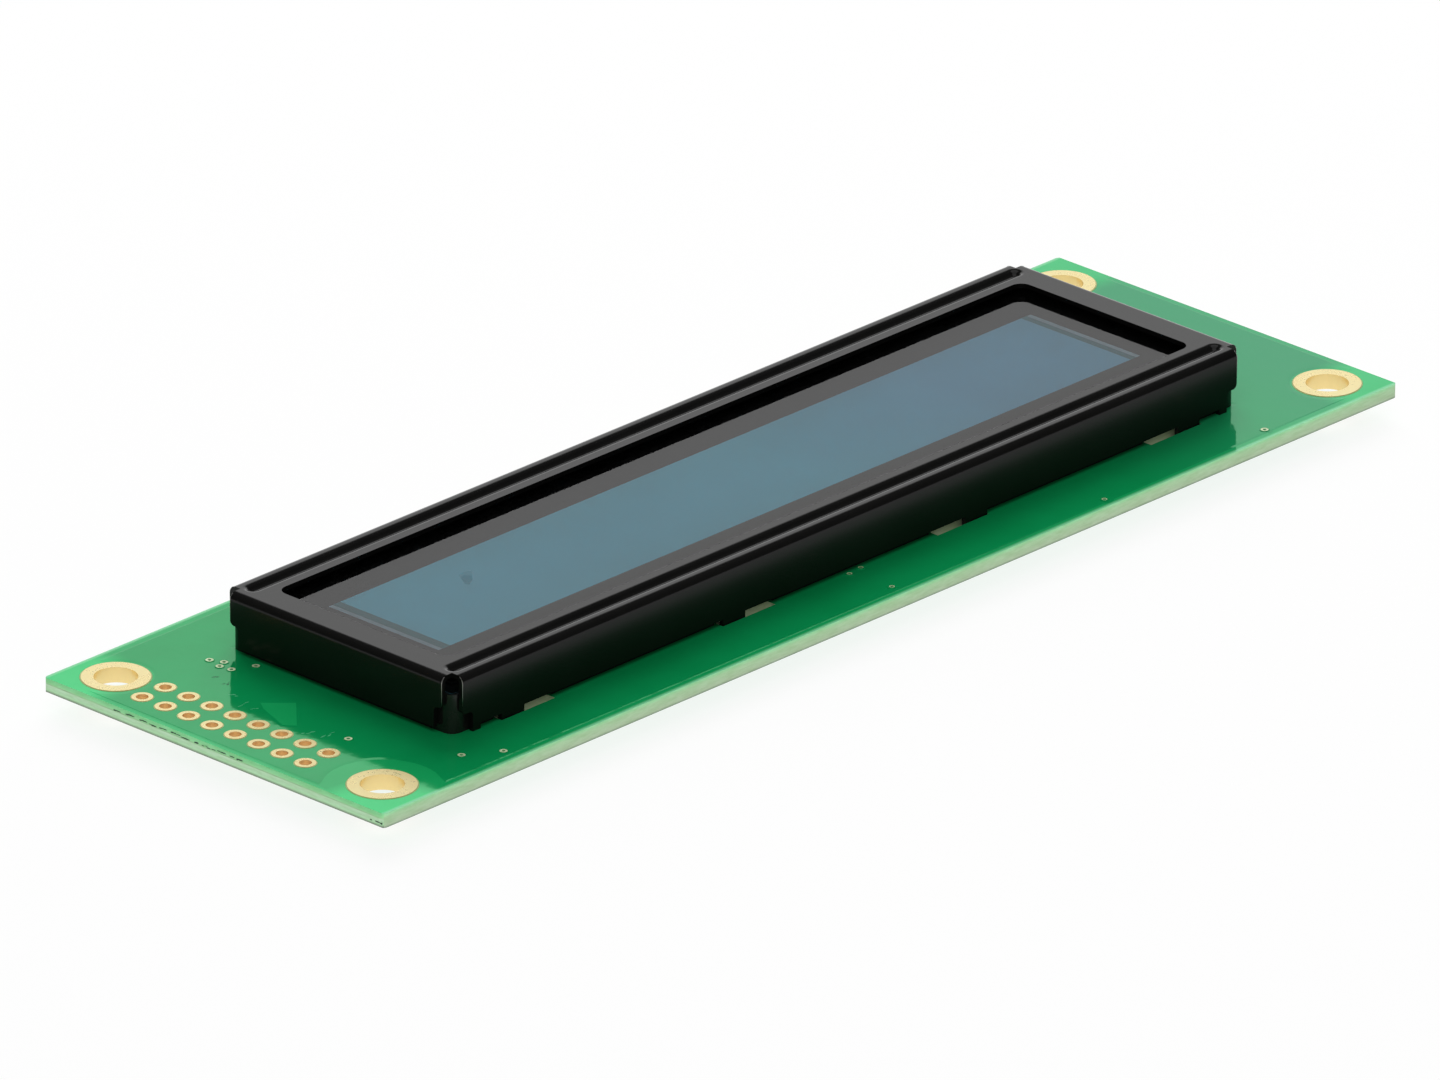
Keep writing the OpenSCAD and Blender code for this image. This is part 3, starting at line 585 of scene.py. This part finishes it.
# ---- Panel back: cap glass, drying sheet and edge seal ----
# The recessed cap glass closes the light-giving layers from behind. It holds a sheet that takes up moisture, and
# a bead of dark glue joins it to the front glass.
dress(even_finish("Smoked cap glass", low=(0.012, 0.014, 0.015), high=(0.02, 0.023, 0.024), polish=(0.03, 0.07),
                  cloud=6, grain=0.3, depth=0.001, IOR=1.5), "cap_glass")
dress(even_finish("Drying sheet", low=(0.30, 0.30, 0.28), high=(0.40, 0.40, 0.38), polish=(0.7, 0.9), cloud=1.2,
                  grain=0.1, depth=0.01), "desiccant_sheet")
dress(even_finish("Dark sealing glue", low=(0.012, 0.010, 0.008), high=(0.02, 0.017, 0.014), polish=(0.3, 0.45),
                  cloud=1.0, grain=0.2, depth=0.004, IOR=1.05), "edge_seal")


# ---- Pixel layer and bus bars ----
# Thin layers laid on the back of the front glass: the blue-grey pixel field, unlit, and a pale metal bus bar past
# each of its ends.
# The field is painted darker and greyer towards its right end, a painted shade.
lighter_left_tint, shaded_right_tint = (0.127, 0.595, 0.785, 1), (0.155, 0.486, 0.711, 1)
shade_start, shade_stop = 6 * mm, 26 * mm
pixel_finish, tree, shader = finish("Unlit pixel layers", IOR=1.01)
field = vary(tree, low=(0.90, 0.92, 0.92), high=(1.0, 1.0, 1.0), polish=(0.25, 0.35), cloud=14, grain=0.3)
tint = blend(tree, spread(tree, whereabouts(tree)["X"], shade_start, shade_stop), lighter_left_tint, shaded_right_tint)
feed(tree, shader, Base_Color=blend(tree, 1.0, tint, field["Colour"], blend_type="MULTIPLY"),
     Roughness=field["Roughness"])
relief(tree, shader, field["Height"], depth=0.0005)
dress(pixel_finish, "pixel_layer")
dress(even_finish("Thin bus metal", low=(0.25, 0.39, 0.46), high=(0.28, 0.42, 0.50), polish=(0.3, 0.4), cloud=2,
                  grain=0.2, depth=0.0005, IOR=1.05), "bus_bars")


# ---- Front glass with its film ----
# One laminate: the 0.7 mm front glass and the 0.2 mm neutral film stuck on it, which is cut a little smaller. It
# lies on the carrier's rim and the bezel's beads hold it down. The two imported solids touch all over, so one body
# stands in.
glass_low, glass_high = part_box("front_glass")
film_low, film_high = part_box("polarizing_film")
bonded = 0.01 * mm  # the layers behind are grown on the glass, so it reaches into them
ground = 0.05 * mm  # width of the ground edge of the glass


def loop_of(mesh, low, high, inset, level):
    """Four corners of a rectangle, shrunk by an inset, at one level."""
    return [mesh.verts.new((x, y, level)) for x, y in (
        (low.x + inset, low.y + inset), (high.x - inset, low.y + inset),
        (high.x - inset, high.y - inset), (low.x + inset, high.y - inset))]


mesh = bmesh.new()
glass, film = (glass_low, glass_high), (film_low, film_high)
rings = [loop_of(mesh, *sheet, inset, level) for sheet, inset, level in (
    (glass, ground, glass_low.z - bonded), (glass, 0, glass_low.z - bonded + ground),
    (glass, 0, glass_high.z - ground), (glass, ground, glass_high.z),
    (film, 0, film_low.z), (film, 0, film_high.z - ground), (film, ground, film_high.z))]
mesh.faces.new(rings[0])
skin(mesh, rings)
mesh.faces.new(rings[-1])
glass_finish, tree, shader = finish("Filmed front glass", IOR=1.38, Transmission_Weight=1.0)
smoke = vary(tree, low=(0.41, 0.42, 0.42), high=(0.44, 0.445, 0.445), polish=(0.0, 0.012), cloud=20, grain=0.4)
feed(tree, shader, Base_Color=smoke["Colour"], Roughness=smoke["Roughness"])
new_piece("panel_front", mesh, glass_finish, "panel_glass", "front_glass", "polarizing_film")


# ---- Panel border ----
# A dark border printed on the back of the glass hides the seal. It is open over the pixel field and the bus bars,
# and paler in the strips between them.
border_level, border_film, lap = glass_low.z + 0.004 * mm, 0.01 * mm, 0.02
field_middle, strip_reach, strip_half = 1 * mm, 39.6 * mm, 6 * mm
pale_strip = (0.03, 0.18, 0.21, 1)
border_finish, tree, shader = finish("Dark border print", IOR=1.05)
print_coat = vary(tree, low=(0.009, 0.0095, 0.0095), high=(0.014, 0.0145, 0.0145), polish=(0.3, 0.45), cloud=1.0,
                  grain=0.2)
place = whereabouts(tree)
off_middle = sum_of(tree, "ABSOLUTE", sum_of(tree, "SUBTRACT", place["X"], field_middle))
strip = sum_of(tree, "MULTIPLY", sum_of(tree, "LESS_THAN", off_middle, strip_reach),
               sum_of(tree, "LESS_THAN", sum_of(tree, "ABSOLUTE", place["Y"]), strip_half))
feed(tree, shader, Base_Color=blend(tree, strip, print_coat["Colour"], pale_strip),
     Roughness=print_coat["Roughness"])
relief(tree, shader, print_coat["Height"], depth=0.002)


def corners(low, high, inset):
    """The corners in mm of a box's plan, shrunk by an inset."""
    left, right, near, far = low.x / mm + inset, high.x / mm - inset, low.y / mm + inset, high.y / mm - inset
    return [(left, near), (right, near), (right, far), (left, far)]


bus_low, bus_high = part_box("bus_bars")
bus_width, field_trim, glass_trim = 0.5 * mm, 0.2 * mm, 0.1
left_bus = corners(bus_low, Vector((bus_low.x + bus_width, bus_high.y, bus_high.z)), lap)
right_bus = corners(Vector((bus_high.x - bus_width, bus_low.y, bus_low.z)), bus_high, lap)
field_low, field_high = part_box("pixel_layer")
field_corners = corners(field_low + Vector((field_trim, 0, 0)), field_high, lap)
mesh = bmesh.new()
foil_sheet(mesh, [corners(glass_low, glass_high, glass_trim), field_corners, left_bus, right_bus],
           border_level, border_film, slope=0.0)
new_piece("panel_border", mesh, border_finish, "seal_glue")


# ---- Bezel ----
# One stamped and bent sheet of steel, painted satin black: window, pressed beads, open corners, notched walls and
# tabs that go through the board and are twisted behind it. The shears left a fine bright burr where the corners
# were cut.
wall_polish, wall_gloss, face_gloss = 0.21, 0.04, 0.34
wall_level, face_level = 0.3, 0.9
bezel_finish, tree, shader = finish("Satin black paint on steel", IOR=1.25, Coat_IOR=1.5, Coat_Roughness=0.12)
paint = vary(tree, low=(0.0042, 0.0042, 0.0039), high=(0.0062, 0.0062, 0.0058), polish=(0.10, 0.17), cloud=5,
             grain=0.12)
level = spread(tree, levelness(tree), wall_level, face_level)
feed(tree, shader, Base_Color=paint["Colour"], Roughness=part_way(tree, level, wall_polish, paint["Roughness"]),
     Coat_Weight=spread(tree, level, 0.0, 1.0, wall_gloss, face_gloss))
relief(tree, shader, paint["Height"], depth=0.0012)
dress(bezel_finish, "bezel")


def tube(mesh, path, radius):
    """A round bar along a path in mm that thins out to a point at its first end."""
    sides = 8
    path = [Vector(p) for p in path]
    rows = []
    for i, spot in enumerate(path):
        way = (path[min(i + 1, len(path) - 1)] - path[max(i - 1, 0)]).normalized()
        side = way.orthogonal().normalized()
        up = way.cross(side)
        thick = radius * min(1.0, 0.15 + i / 4)
        rows.append([mesh.verts.new((spot + (side * math.cos(a) + up * math.sin(a)) * thick) * mm)
                     for a in (math.tau * k / sides for k in range(sides))])
    mesh.faces.new(rows[0][::-1])
    skin(mesh, rows)
    mesh.faces.new(rows[-1])


bezel_low, bezel_high = (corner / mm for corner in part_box("bezel"))
wall_reach, corner_gap, bend, burr = 12.65, 1.15, 0.65, 0.025
burr_heights = (5.4, 5.8, 6.3, 6.8)
bend_z = bezel_high.z - bend
burr_finish = even_finish("Bare steel burr", low=(0.26, 0.26, 0.25), high=(0.42, 0.41, 0.40), polish=(0.25, 0.4),
                          cloud=0.6, grain=0.05, depth=0.002, Metallic=1.0)
mesh = bmesh.new()
for x_side in (-1, 1):
    for y_side in (-1, 1):
        wall_x, wall_y = bezel_low.x if x_side < 0 else bezel_high.x, wall_reach * y_side
        cut_x, cut_y = wall_x - x_side * corner_gap, wall_y - y_side * corner_gap
        long_path = [(cut_x, wall_y, z) for z in burr_heights]
        end_path = [(wall_x, cut_y, z) for z in burr_heights]
        for turn in range(0, 61, 15):
            out, up = bend * (1 - math.cos(math.radians(turn))), bend_z + bend * math.sin(math.radians(turn))
            long_path.append((cut_x, wall_y - y_side * out, up))
            end_path.append((wall_x - x_side * out, cut_y, up))
        tube(mesh, long_path, burr)
        tube(mesh, end_path, burr)
new_piece("corner_burrs", mesh, burr_finish, "bezel_paint", smooth=True)


# ---- Chips at the snapped end ----
# Where the board was snapped from its panel, dark chips of mask and fibre cling along the score, with a few more
# low on the end near its near corner. Their dark colour is partly painted shade of the small nicks along the score.
draw = random.Random(7)
along_end, upward, leftward = Vector((0, 1, 0)), Vector((0, 0, 1)), Vector((-1, 0, 0))
end_x, score_z = board_low.x / mm, (board_high.z - score_depth) / mm
slope_up = Vector((0.12, 0, 0.4)).normalized()
slope_out = Vector((-0.4, 0, 0.12)).normalized()
first_chip, last_chip, low_height, chip_thick = 10.6, -3.4, 0.12, 0.03


def chip(mesh, middle, along, up, out, length, height, thick):
    """A ragged flake on a surface: its middle, the ways along, up and out of the surface, and its size, in mm."""
    points, sunk = 9, 0.02
    low, high = [], []
    for k in range(points):
        a = math.tau * k / points
        far = draw.uniform(0.6, 1.0)
        spot = middle + along * (math.cos(a) * far * length / 2) + up * (math.sin(a) * far * height / 2)
        low.append(mesh.verts.new((spot - out * sunk) * mm))
        high.append(mesh.verts.new((spot + out * thick * draw.uniform(0.5, 1.0)) * mm))
    skin(mesh, [low, high])
    mesh.faces.new(high)
    mesh.faces.new(low[::-1])


# The chips' dark colour stands partly for the shade in the nicks.
chip_and_nick_shade_finish = even_finish("Dark chips with painted nick shade", low=(0.012, 0.045, 0.022), high=(0.03, 0.09, 0.045),
                          polish=(0.5, 0.8), cloud=0.3, grain=0.05, depth=0.006)
mesh = bmesh.new()
y = first_chip
while y > last_chip:
    length = draw.uniform(0.25, 1.1)
    climb = draw.uniform(0.06, 0.16)
    chip(mesh, Vector((end_x, y, score_z)) + slope_up * climb, along_end, slope_up, slope_out, length,
         draw.uniform(0.05, 0.15), chip_thick)
    y -= length * draw.uniform(0.6, 1.2)
for y, z, length in ((-17.9, 2.12, 0.7), (-18.3, 2.1, 0.35), (-17.2, 2.1, 0.3)):
    chip(mesh, Vector((end_x, y, z)), along_end, upward, leftward, length, low_height, chip_thick)
new_piece("score_chips", mesh, chip_and_nick_shade_finish, "solder_mask")


# ---- Painted glints and shade, a scratch and dirt ----
# Pale green slivers on the mask near the header are painted glints on the edges of the tracks under the mask, and
# two dark flecks there are painted shade of small unevenness in the mask. There is also a scratch on one mounting
# land and a thin spot of dirt on the panel's film.
copper_level, land_level = (board_high.z + foil) / mm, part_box("mounting_hole_rings")[1].z / mm
film_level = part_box("polarizing_film")[1].z / mm
sliver_thick, dirt_thick = 0.006, 0.004


def sliver_marks(mesh, level, width, spans):
    """Flat ragged slivers at one level, each from one spot to another in mm."""
    for ax, ay, bx, by in spans:
        start, end = Vector((ax, ay, level)), Vector((bx, by, level))
        along = (end - start).normalized()
        across = along.cross(upward)
        for share in (0.2, 0.5, 0.8):
            spot = start.lerp(end, share) + across * draw.uniform(-width, width)
            lean = (along + across * draw.uniform(-0.35, 0.35)).normalized()
            chip(mesh, spot, lean, lean.cross(upward), upward, (end - start).length * draw.uniform(0.3, 0.5),
                 width * draw.uniform(0.4, 1.0), sliver_thick)


# Pale green slivers: painted glints on track edges under the mask.
glint_finish = even_finish("Painted glints on mask", low=(0.02, 0.37, 0.14), high=(0.06, 0.44, 0.20), polish=(0.35, 0.5),
                           cloud=0.3, grain=0.05, depth=0.004, IOR=mask_ior)
mesh = bmesh.new()
sliver_marks(mesh, copper_level, width=0.2, spans=[
    (-50.22, 5.93, -49.83, 5.11), (-51.46, 3.81, -50.09, 3.75), (-51.23, 2.61, -50.49, 2.26),
    (-51.75, -3.37, -50.62, -4.00), (-51.14, -4.95, -49.48, -5.05)])
new_piece("mask_glints", mesh, glint_finish, "solder_mask")
# Dark flecks: painted shade on the mask, and a real scratch on a mounting land.
fleck_shade_and_scratch_finish = even_finish("Dark flecks", low=(0.01, 0.15, 0.06), high=(0.03, 0.20, 0.08), polish=(0.5, 0.7),
                           cloud=0.3, grain=0.05, depth=0.004)
flecks = bmesh.new()
sliver_marks(flecks, copper_level, width=0.24, spans=[(-48.92, 9.10, -48.56, 8.59), (-49.27, 7.54, -48.57, 7.36)])
sliver_marks(flecks, land_level, width=0.06, spans=[(-51.91, -13.76, -51.86, -14.47)])
dirt_finish = even_finish("Thin dirt", low=(0.008, 0.02, 0.03), high=(0.015, 0.03, 0.04), polish=(0.5, 0.7),
                          cloud=0.3, grain=0.05, depth=0.001, IOR=1.01, Alpha=0.05)
dirt_along, dirt_across = Vector((0.722, 0.692, 0)), Vector((-0.692, 0.722, 0))
dirt = bmesh.new()
for x, y, length, width in ((-28.06, 1.70, 3.5, 1.3), (-28.30, 1.47, 1.8, 1.1)):
    chip(dirt, Vector((x, y, film_level)), dirt_along, dirt_across, upward, length, width, dirt_thick)
new_piece("glass_spot", dirt, dirt_finish, "panel_glass")
new_piece("dark_flecks", flecks, fleck_shade_and_scratch_finish, "solder_mask")


# ---- Driver chip and its cover ----
# A bare silicon chip bonded to the back of the board under a round drop of black resin, which ran out unevenly
# before it set.
dress(even_finish("Polished silicon", low=(0.10, 0.105, 0.11), high=(0.14, 0.145, 0.15), polish=(0.1, 0.2),
                  cloud=1, grain=0.1, depth=0.001), "driver_chip")
resin_finish = even_finish("Black resin", low=(0.006, 0.006, 0.006), high=(0.013, 0.013, 0.012),
                           polish=(0.25, 0.45), cloud=2.5, grain=0.25, depth=0.008)
cover_low, cover_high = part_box("driver_cover")
cover_middle = (cover_low + cover_high) / 2
cover_radius, cover_height = (cover_high.x - cover_low.x) / 2, cover_high.z - cover_low.z
around, fullness, crown_gap = 96, 2.4, 0.01
mesh = bmesh.new()
rows = []
for share in (1.0, 0.985, 0.96, 0.92, 0.86, 0.78, 0.68, 0.56, 0.42, 0.28, 0.14):
    row = []
    for k in range(around):
        a = math.tau * k / around
        wander = 1 - 0.012 * (1 + math.sin(3 * a + 0.6)) * share - 0.008 * (1 + math.sin(5 * a + 2.1)) * share
        sag = (1 - share ** fullness) * (1 + 0.02 * math.sin(2 * a) * share)
        radius = cover_radius * share * wander
        row.append(mesh.verts.new((cover_middle.x + radius * math.cos(a), cover_middle.y + radius * math.sin(a),
                                   cover_high.z - cover_height * (1 - crown_gap) * sag)))
    rows.append(row)
skin(mesh, rows)
crown = mesh.verts.new((cover_middle.x, cover_middle.y, cover_low.z + cover_height * crown_gap))
for k in range(around):
    mesh.faces.new((rows[-1][k - 1], rows[-1][k], crown))
mesh.faces.new(rows[0])
new_piece("driver_drop", mesh, resin_finish, "chip_resin", "driver_cover", smooth=True)


# ---- Supply parts ----
# Inductor, converter, rectifier, capacitors and resistors of the step-up supply, soldered to the back. Their
# moulded and fired bodies have eased edges, and the inductor's winding shows its turns.
def ease(width, *nodes):
    """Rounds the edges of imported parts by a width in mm."""
    for name in nodes:
        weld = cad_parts[name].modifiers.new("joined corners", "WELD")
        weld.merge_threshold = 0.001 * mm
        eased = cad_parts[name].modifiers.new("eased edges", "BEVEL")
        eased.width = width * mm
        eased.segments = 2
        eased.limit_method = "ANGLE"
        eased.angle_limit = math.radians(40)


dress(resin_finish, "converter_chip", "rectifier_body", "resistor_bodies")
dress(even_finish("Sintered ferrite", low=(0.03, 0.03, 0.032), high=(0.055, 0.055, 0.057), polish=(0.55, 0.75),
                  cloud=0.8, grain=0.08, depth=0.01), "inductor_core")
dress(even_finish("Satin tin plating", low=(0.62, 0.62, 0.60), high=(0.78, 0.78, 0.76), polish=(0.28, 0.42),
                  cloud=0.7, grain=0.08, depth=0.003, Metallic=1.0),
      "inductor_terminals", "converter_leads", "rectifier_leads", "capacitor_ends", "resistor_ends")
dress(even_finish("Fired ceramic", low=(0.25, 0.15, 0.07), high=(0.34, 0.21, 0.10), polish=(0.45, 0.6),
                  cloud=0.9, grain=0.08, depth=0.006), "capacitor_bodies")
ease(0.07, "converter_chip", "rectifier_body", "capacitor_ends", "capacitor_bodies", "inductor_core")
ease(0.03, "resistor_ends", "resistor_bodies")

wire_finish = even_finish("Enamelled copper wire", low=(0.55, 0.17, 0.05), high=(0.72, 0.28, 0.10),
                          polish=(0.2, 0.35), cloud=0.6, grain=0.06, depth=0.003, Metallic=1.0)
coil_low, coil_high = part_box("inductor_winding")
coil_middle = (coil_low + coil_high) / 2
coil_radius, coil_height = (coil_high.x - coil_low.x) / 2, coil_high.z - coil_low.z
coil_bore, turns, facets = 0.55 * coil_radius, 5, 64
wire = coil_height / turns
profile = [(coil_bore, coil_low.z)]
for turn in range(turns):
    for step in range(7):
        a = math.radians(-80 + 160 * step / 6)
        profile.append((coil_radius - wire / 2 + wire / 2 * math.cos(a),
                        coil_low.z + wire * (turn + 0.5) + wire / 2 * math.sin(a)))
profile.append((coil_bore, coil_high.z))
mesh = bmesh.new()
columns = [[mesh.verts.new((coil_middle.x + r * math.cos(a), coil_middle.y + r * math.sin(a), z))
            for r, z in profile] for a in (math.tau * k / facets for k in range(facets))]
for k in range(facets):
    for j in range(len(profile)):
        mesh.faces.new((columns[k - 1][j - 1], columns[k][j - 1], columns[k][j], columns[k - 1][j]))
new_piece("inductor_turns", mesh, wire_finish, "copper_wire", "inductor_winding", smooth=True)


# ---- Solder ----
# Smooth solder that climbs the ends and leads of the supply parts in hollow fillets, on tinned pads a little wider
# than the parts.
solder_finish = even_finish("Smooth solder", low=(0.62, 0.63, 0.64), high=(0.76, 0.77, 0.78),
                            polish=(0.16, 0.3), cloud=0.5, grain=0.1, depth=0.005, Metallic=1.0)
capacitor_places = [(-37, 3.5, 90), (-37, -3.5, 90), (-23, -3.5, 90), (-16, 3.5, 90)]
resistor_places = [(-18.5, -5, 0), (-18.5, -3, 0), (-14.5, -5, 0), (-14.5, -3, 0), (-8, 4, 90), (-5, 4, 90),
                   (24, 4, 90), (27, 4, 90), (30, 4, 90), (24, -4, 90), (27, -4, 90), (30, -4, 90)]
converter_place, rectifier_place, inductor_place = (-23, 3.5), (-30, -3.5), (-30, 3.5)
pad_under, pad_past, pad_wider = 0.05, 0.12, 0.2
hollow = ((0, 1), (0.10, 0.66), (0.24, 0.40), (0.45, 0.20), (0.70, 0.08), (1, 0.02), (1, 0), (0, 0))


def back_spot(mesh, place, turn, x, y, height):
    """A point on the board's back, from the place and turn of a part, in mm."""
    c, s = math.cos(math.radians(turn)), math.sin(math.radians(turn))
    return mesh.verts.new(((place[0] + c * x - s * y) * mm, (place[1] + s * x + c * y) * mm, back - height * mm))


def soldered(mesh, place, turn, pad, start, width, reach, climb):
    """A tinned pad, given by its two ends and its width, and a hollow fillet where the part's end stands, in mm."""
    pad_low, pad_high, pad_width = pad
    rows = []
    for inset, height in ((0.0, 0.0), (0.0, 0.02), (0.04, 0.035)):
        low, high, half = pad_low + inset, pad_high - inset, pad_width / 2 - inset
        rows.append([back_spot(mesh, place, turn, x, y, height)
                     for x, y in ((low, -half), (high, -half), (high, half), (low, half))])
    skin(mesh, rows)
    mesh.faces.new(rows[0][::-1])
    mesh.faces.new(rows[-1])
    sections = []
    for i in range(9):
        across = -1 + i / 4
        fall = 1 - 0.45 * abs(across) ** 3
        sections.append([back_spot(mesh, place, turn, start + out * reach * fall, across * width / 2,
                                   height * climb * fall) for out, height in hollow])
    skin(mesh, sections)
    mesh.faces.new(sections[0])
    mesh.faces.new(sections[-1][::-1])


mesh = bmesh.new()
for places, half, width, reach, climb in ((capacitor_places, 1.6, 1.6, 0.42, 0.75),
                                          (resistor_places, 0.8, 0.8, 0.36, 0.28)):
    for x, y, turn in places:
        for flip in (0, 180):
            pad = (half - pad_under, half + reach + pad_past, width + pad_wider)
            soldered(mesh, (x, y), turn + flip, pad, half, width, reach, climb)
for step, leads in ((-0.95, (-90, 90)), (0, (-90,)), (0.95, (-90, 90))):
    for turn in leads:
        lead_place = (converter_place[0] + step, converter_place[1])
        soldered(mesh, lead_place, turn, pad=(1.15, 1.75, 0.6), start=1.45, width=0.4, reach=0.22, climb=0.13)
for turn in (90, -90):
    soldered(mesh, rectifier_place, turn, pad=(1.7, 2.4, 1.0), start=2.0, width=0.6, reach=0.25, climb=0.13)
for turn in (0, 180):
    soldered(mesh, inductor_place, turn, pad=(1.6, 2.5, 2.3), start=2.0, width=2.0, reach=0.32, climb=0.3)
new_piece("solder_fillets", mesh, solder_finish, "solder", "solder_joints")


# ---- Table, light and camera ----
# A wide white table of opal glass that lets the room's light through, a white backdrop behind and in front, a soft
# light overhead and dim walls. Two soft boxes don't show in the gloss. The camera stands far off with a long lens.
floor_size = 12.0
glow, matt_white = 0.86, 0.15
mesh = bmesh.new()
bmesh.ops.create_grid(mesh, x_segments=1, y_segments=1, size=floor_size / 2)
table_data = bpy.data.meshes.new("table")
mesh.to_mesh(table_data)
mesh.free()
table = bpy.data.objects.new("table", table_data)
bpy.context.scene.collection.objects.link(table)
table_finish, tree, _ = finish("White opal table")
tree.nodes.clear()
matt = add(tree, "BsdfDiffuse", {"Color": (matt_white, matt_white, matt_white, 1)})
white = add(tree, "Emission", {"Color": (1, 1, 1, 1), "Strength": glow})
top = add(tree, "AddShader", {0: matt.outputs[0], 1: white.outputs[0]})
path = add(tree, "LightPath").outputs
seen = sum_of(tree, "MAXIMUM", path["Is Camera Ray"], path["Is Glossy Ray"])
seen = sum_of(tree, "MAXIMUM", seen, path["Is Transmission Ray"])
above = sum_of(tree, "SUBTRACT", 1.0, add(tree, "NewGeometry").outputs["Backfacing"])
seen = sum_of(tree, "MULTIPLY", seen, above)
clear = add(tree, "BsdfTransparent")
shown = add(tree, "MixShader", {0: seen, 1: clear.outputs[0], 2: top.outputs[0]})
add(tree, "OutputMaterial", {"Surface": shown.outputs[0]})
table_data.materials.append(table_finish)

camera_place = Vector((-1.18095, -1.12309, 0.72142))
camera_azimuth, camera_elevation, camera_roll = -46.4092, 23.8228, 0.2017
camera_lens, sensor_width = 564.54, 36.0
sideways = Vector((math.cos(math.radians(camera_azimuth)), math.sin(math.radians(camera_azimuth)), 0))
dim, overhead, front_level, through_table = 0.08, 0.85, 0.35, 0.95
backdrop_sides, backdrop_top, front_to_back = (0.38, 0.62), (0.50, 0.64), (-0.2, 0.2)
ceiling_edge, horizon = (0.92, 0.80), (-0.02, 0.0)
world = bpy.data.worlds.new("Studio")
world.use_nodes = True
tree = world.node_tree
look = add(tree, "TexCoord").outputs["Generated"]
height = add(tree, "SeparateXYZ", {0: look}).outputs["Z"]


def toward(way):
    """How far a look goes a level way."""
    return add(tree, "VectorMath", {0: look, 1: way}, operation="DOT_PRODUCT").outputs["Value"]


aside = sum_of(tree, "ABSOLUTE", toward(sideways))
backdrop = sum_of(tree, "MULTIPLY", fade(tree, aside, *backdrop_sides), fade(tree, height, *backdrop_top))
behind = spread(tree, toward((-sideways.y, sideways.x, 0)), *front_to_back, front_level)
backdrop = sum_of(tree, "MULTIPLY", backdrop, behind)
ceiling = sum_of(tree, "MULTIPLY", fade(tree, height, *ceiling_edge), overhead)
from_below = sum_of(tree, "MULTIPLY", fade(tree, height, *horizon), through_table)
level = add(tree, "LightPath").outputs["Is Camera Ray"]
for light in (backdrop, ceiling, from_below, dim):
    level = sum_of(tree, "MAXIMUM", level, light)
background = tree.nodes["Background"]
feed(tree, background, Color=level)
background.inputs["Strength"].default_value = 1.0
bpy.context.scene.world = world
box_distance, box_size = 1.3, 1.0


def softbox(name, way, share):
    """A square soft light. Its share is the part of the plain light level that it gives on the table."""
    way = Vector(way).normalized()
    data = bpy.data.lights.new(name, "AREA")
    data.size = box_size
    data.energy = share * math.pi ** 2 * box_distance ** 2 / way.z
    lamp = bpy.data.objects.new(name, data)
    lamp.matrix_world = Matrix.Translation(way * box_distance) @ way.to_track_quat("Z", "Y").to_matrix().to_4x4()
    lamp.visible_glossy = False
    lamp.visible_camera = False
    bpy.context.scene.collection.objects.link(lamp)


softbox("back_light", way=(0.55, 0.53, 0.64), share=0.45)
softbox("front_light", way=(-0.45, -0.45, 0.77), share=0.20)

camera_data = bpy.data.cameras.new("camera")
camera_data.sensor_fit = "HORIZONTAL"
camera_data.sensor_width = sensor_width
camera_data.lens = camera_lens
camera_data.clip_start, camera_data.clip_end = 0.05, 50.0
camera = bpy.data.objects.new("camera", camera_data)
bpy.context.scene.collection.objects.link(camera)
camera.matrix_world = (Matrix.Translation(camera_place) @ Matrix.Rotation(math.radians(camera_azimuth), 4, "Z")
                       @ Matrix.Rotation(math.radians(90 - camera_elevation), 4, "X")
                       @ Matrix.Rotation(math.radians(camera_roll), 4, "Z"))
bpy.context.scene.camera = camera
bpy.context.scene.view_settings.view_transform = "Standard"
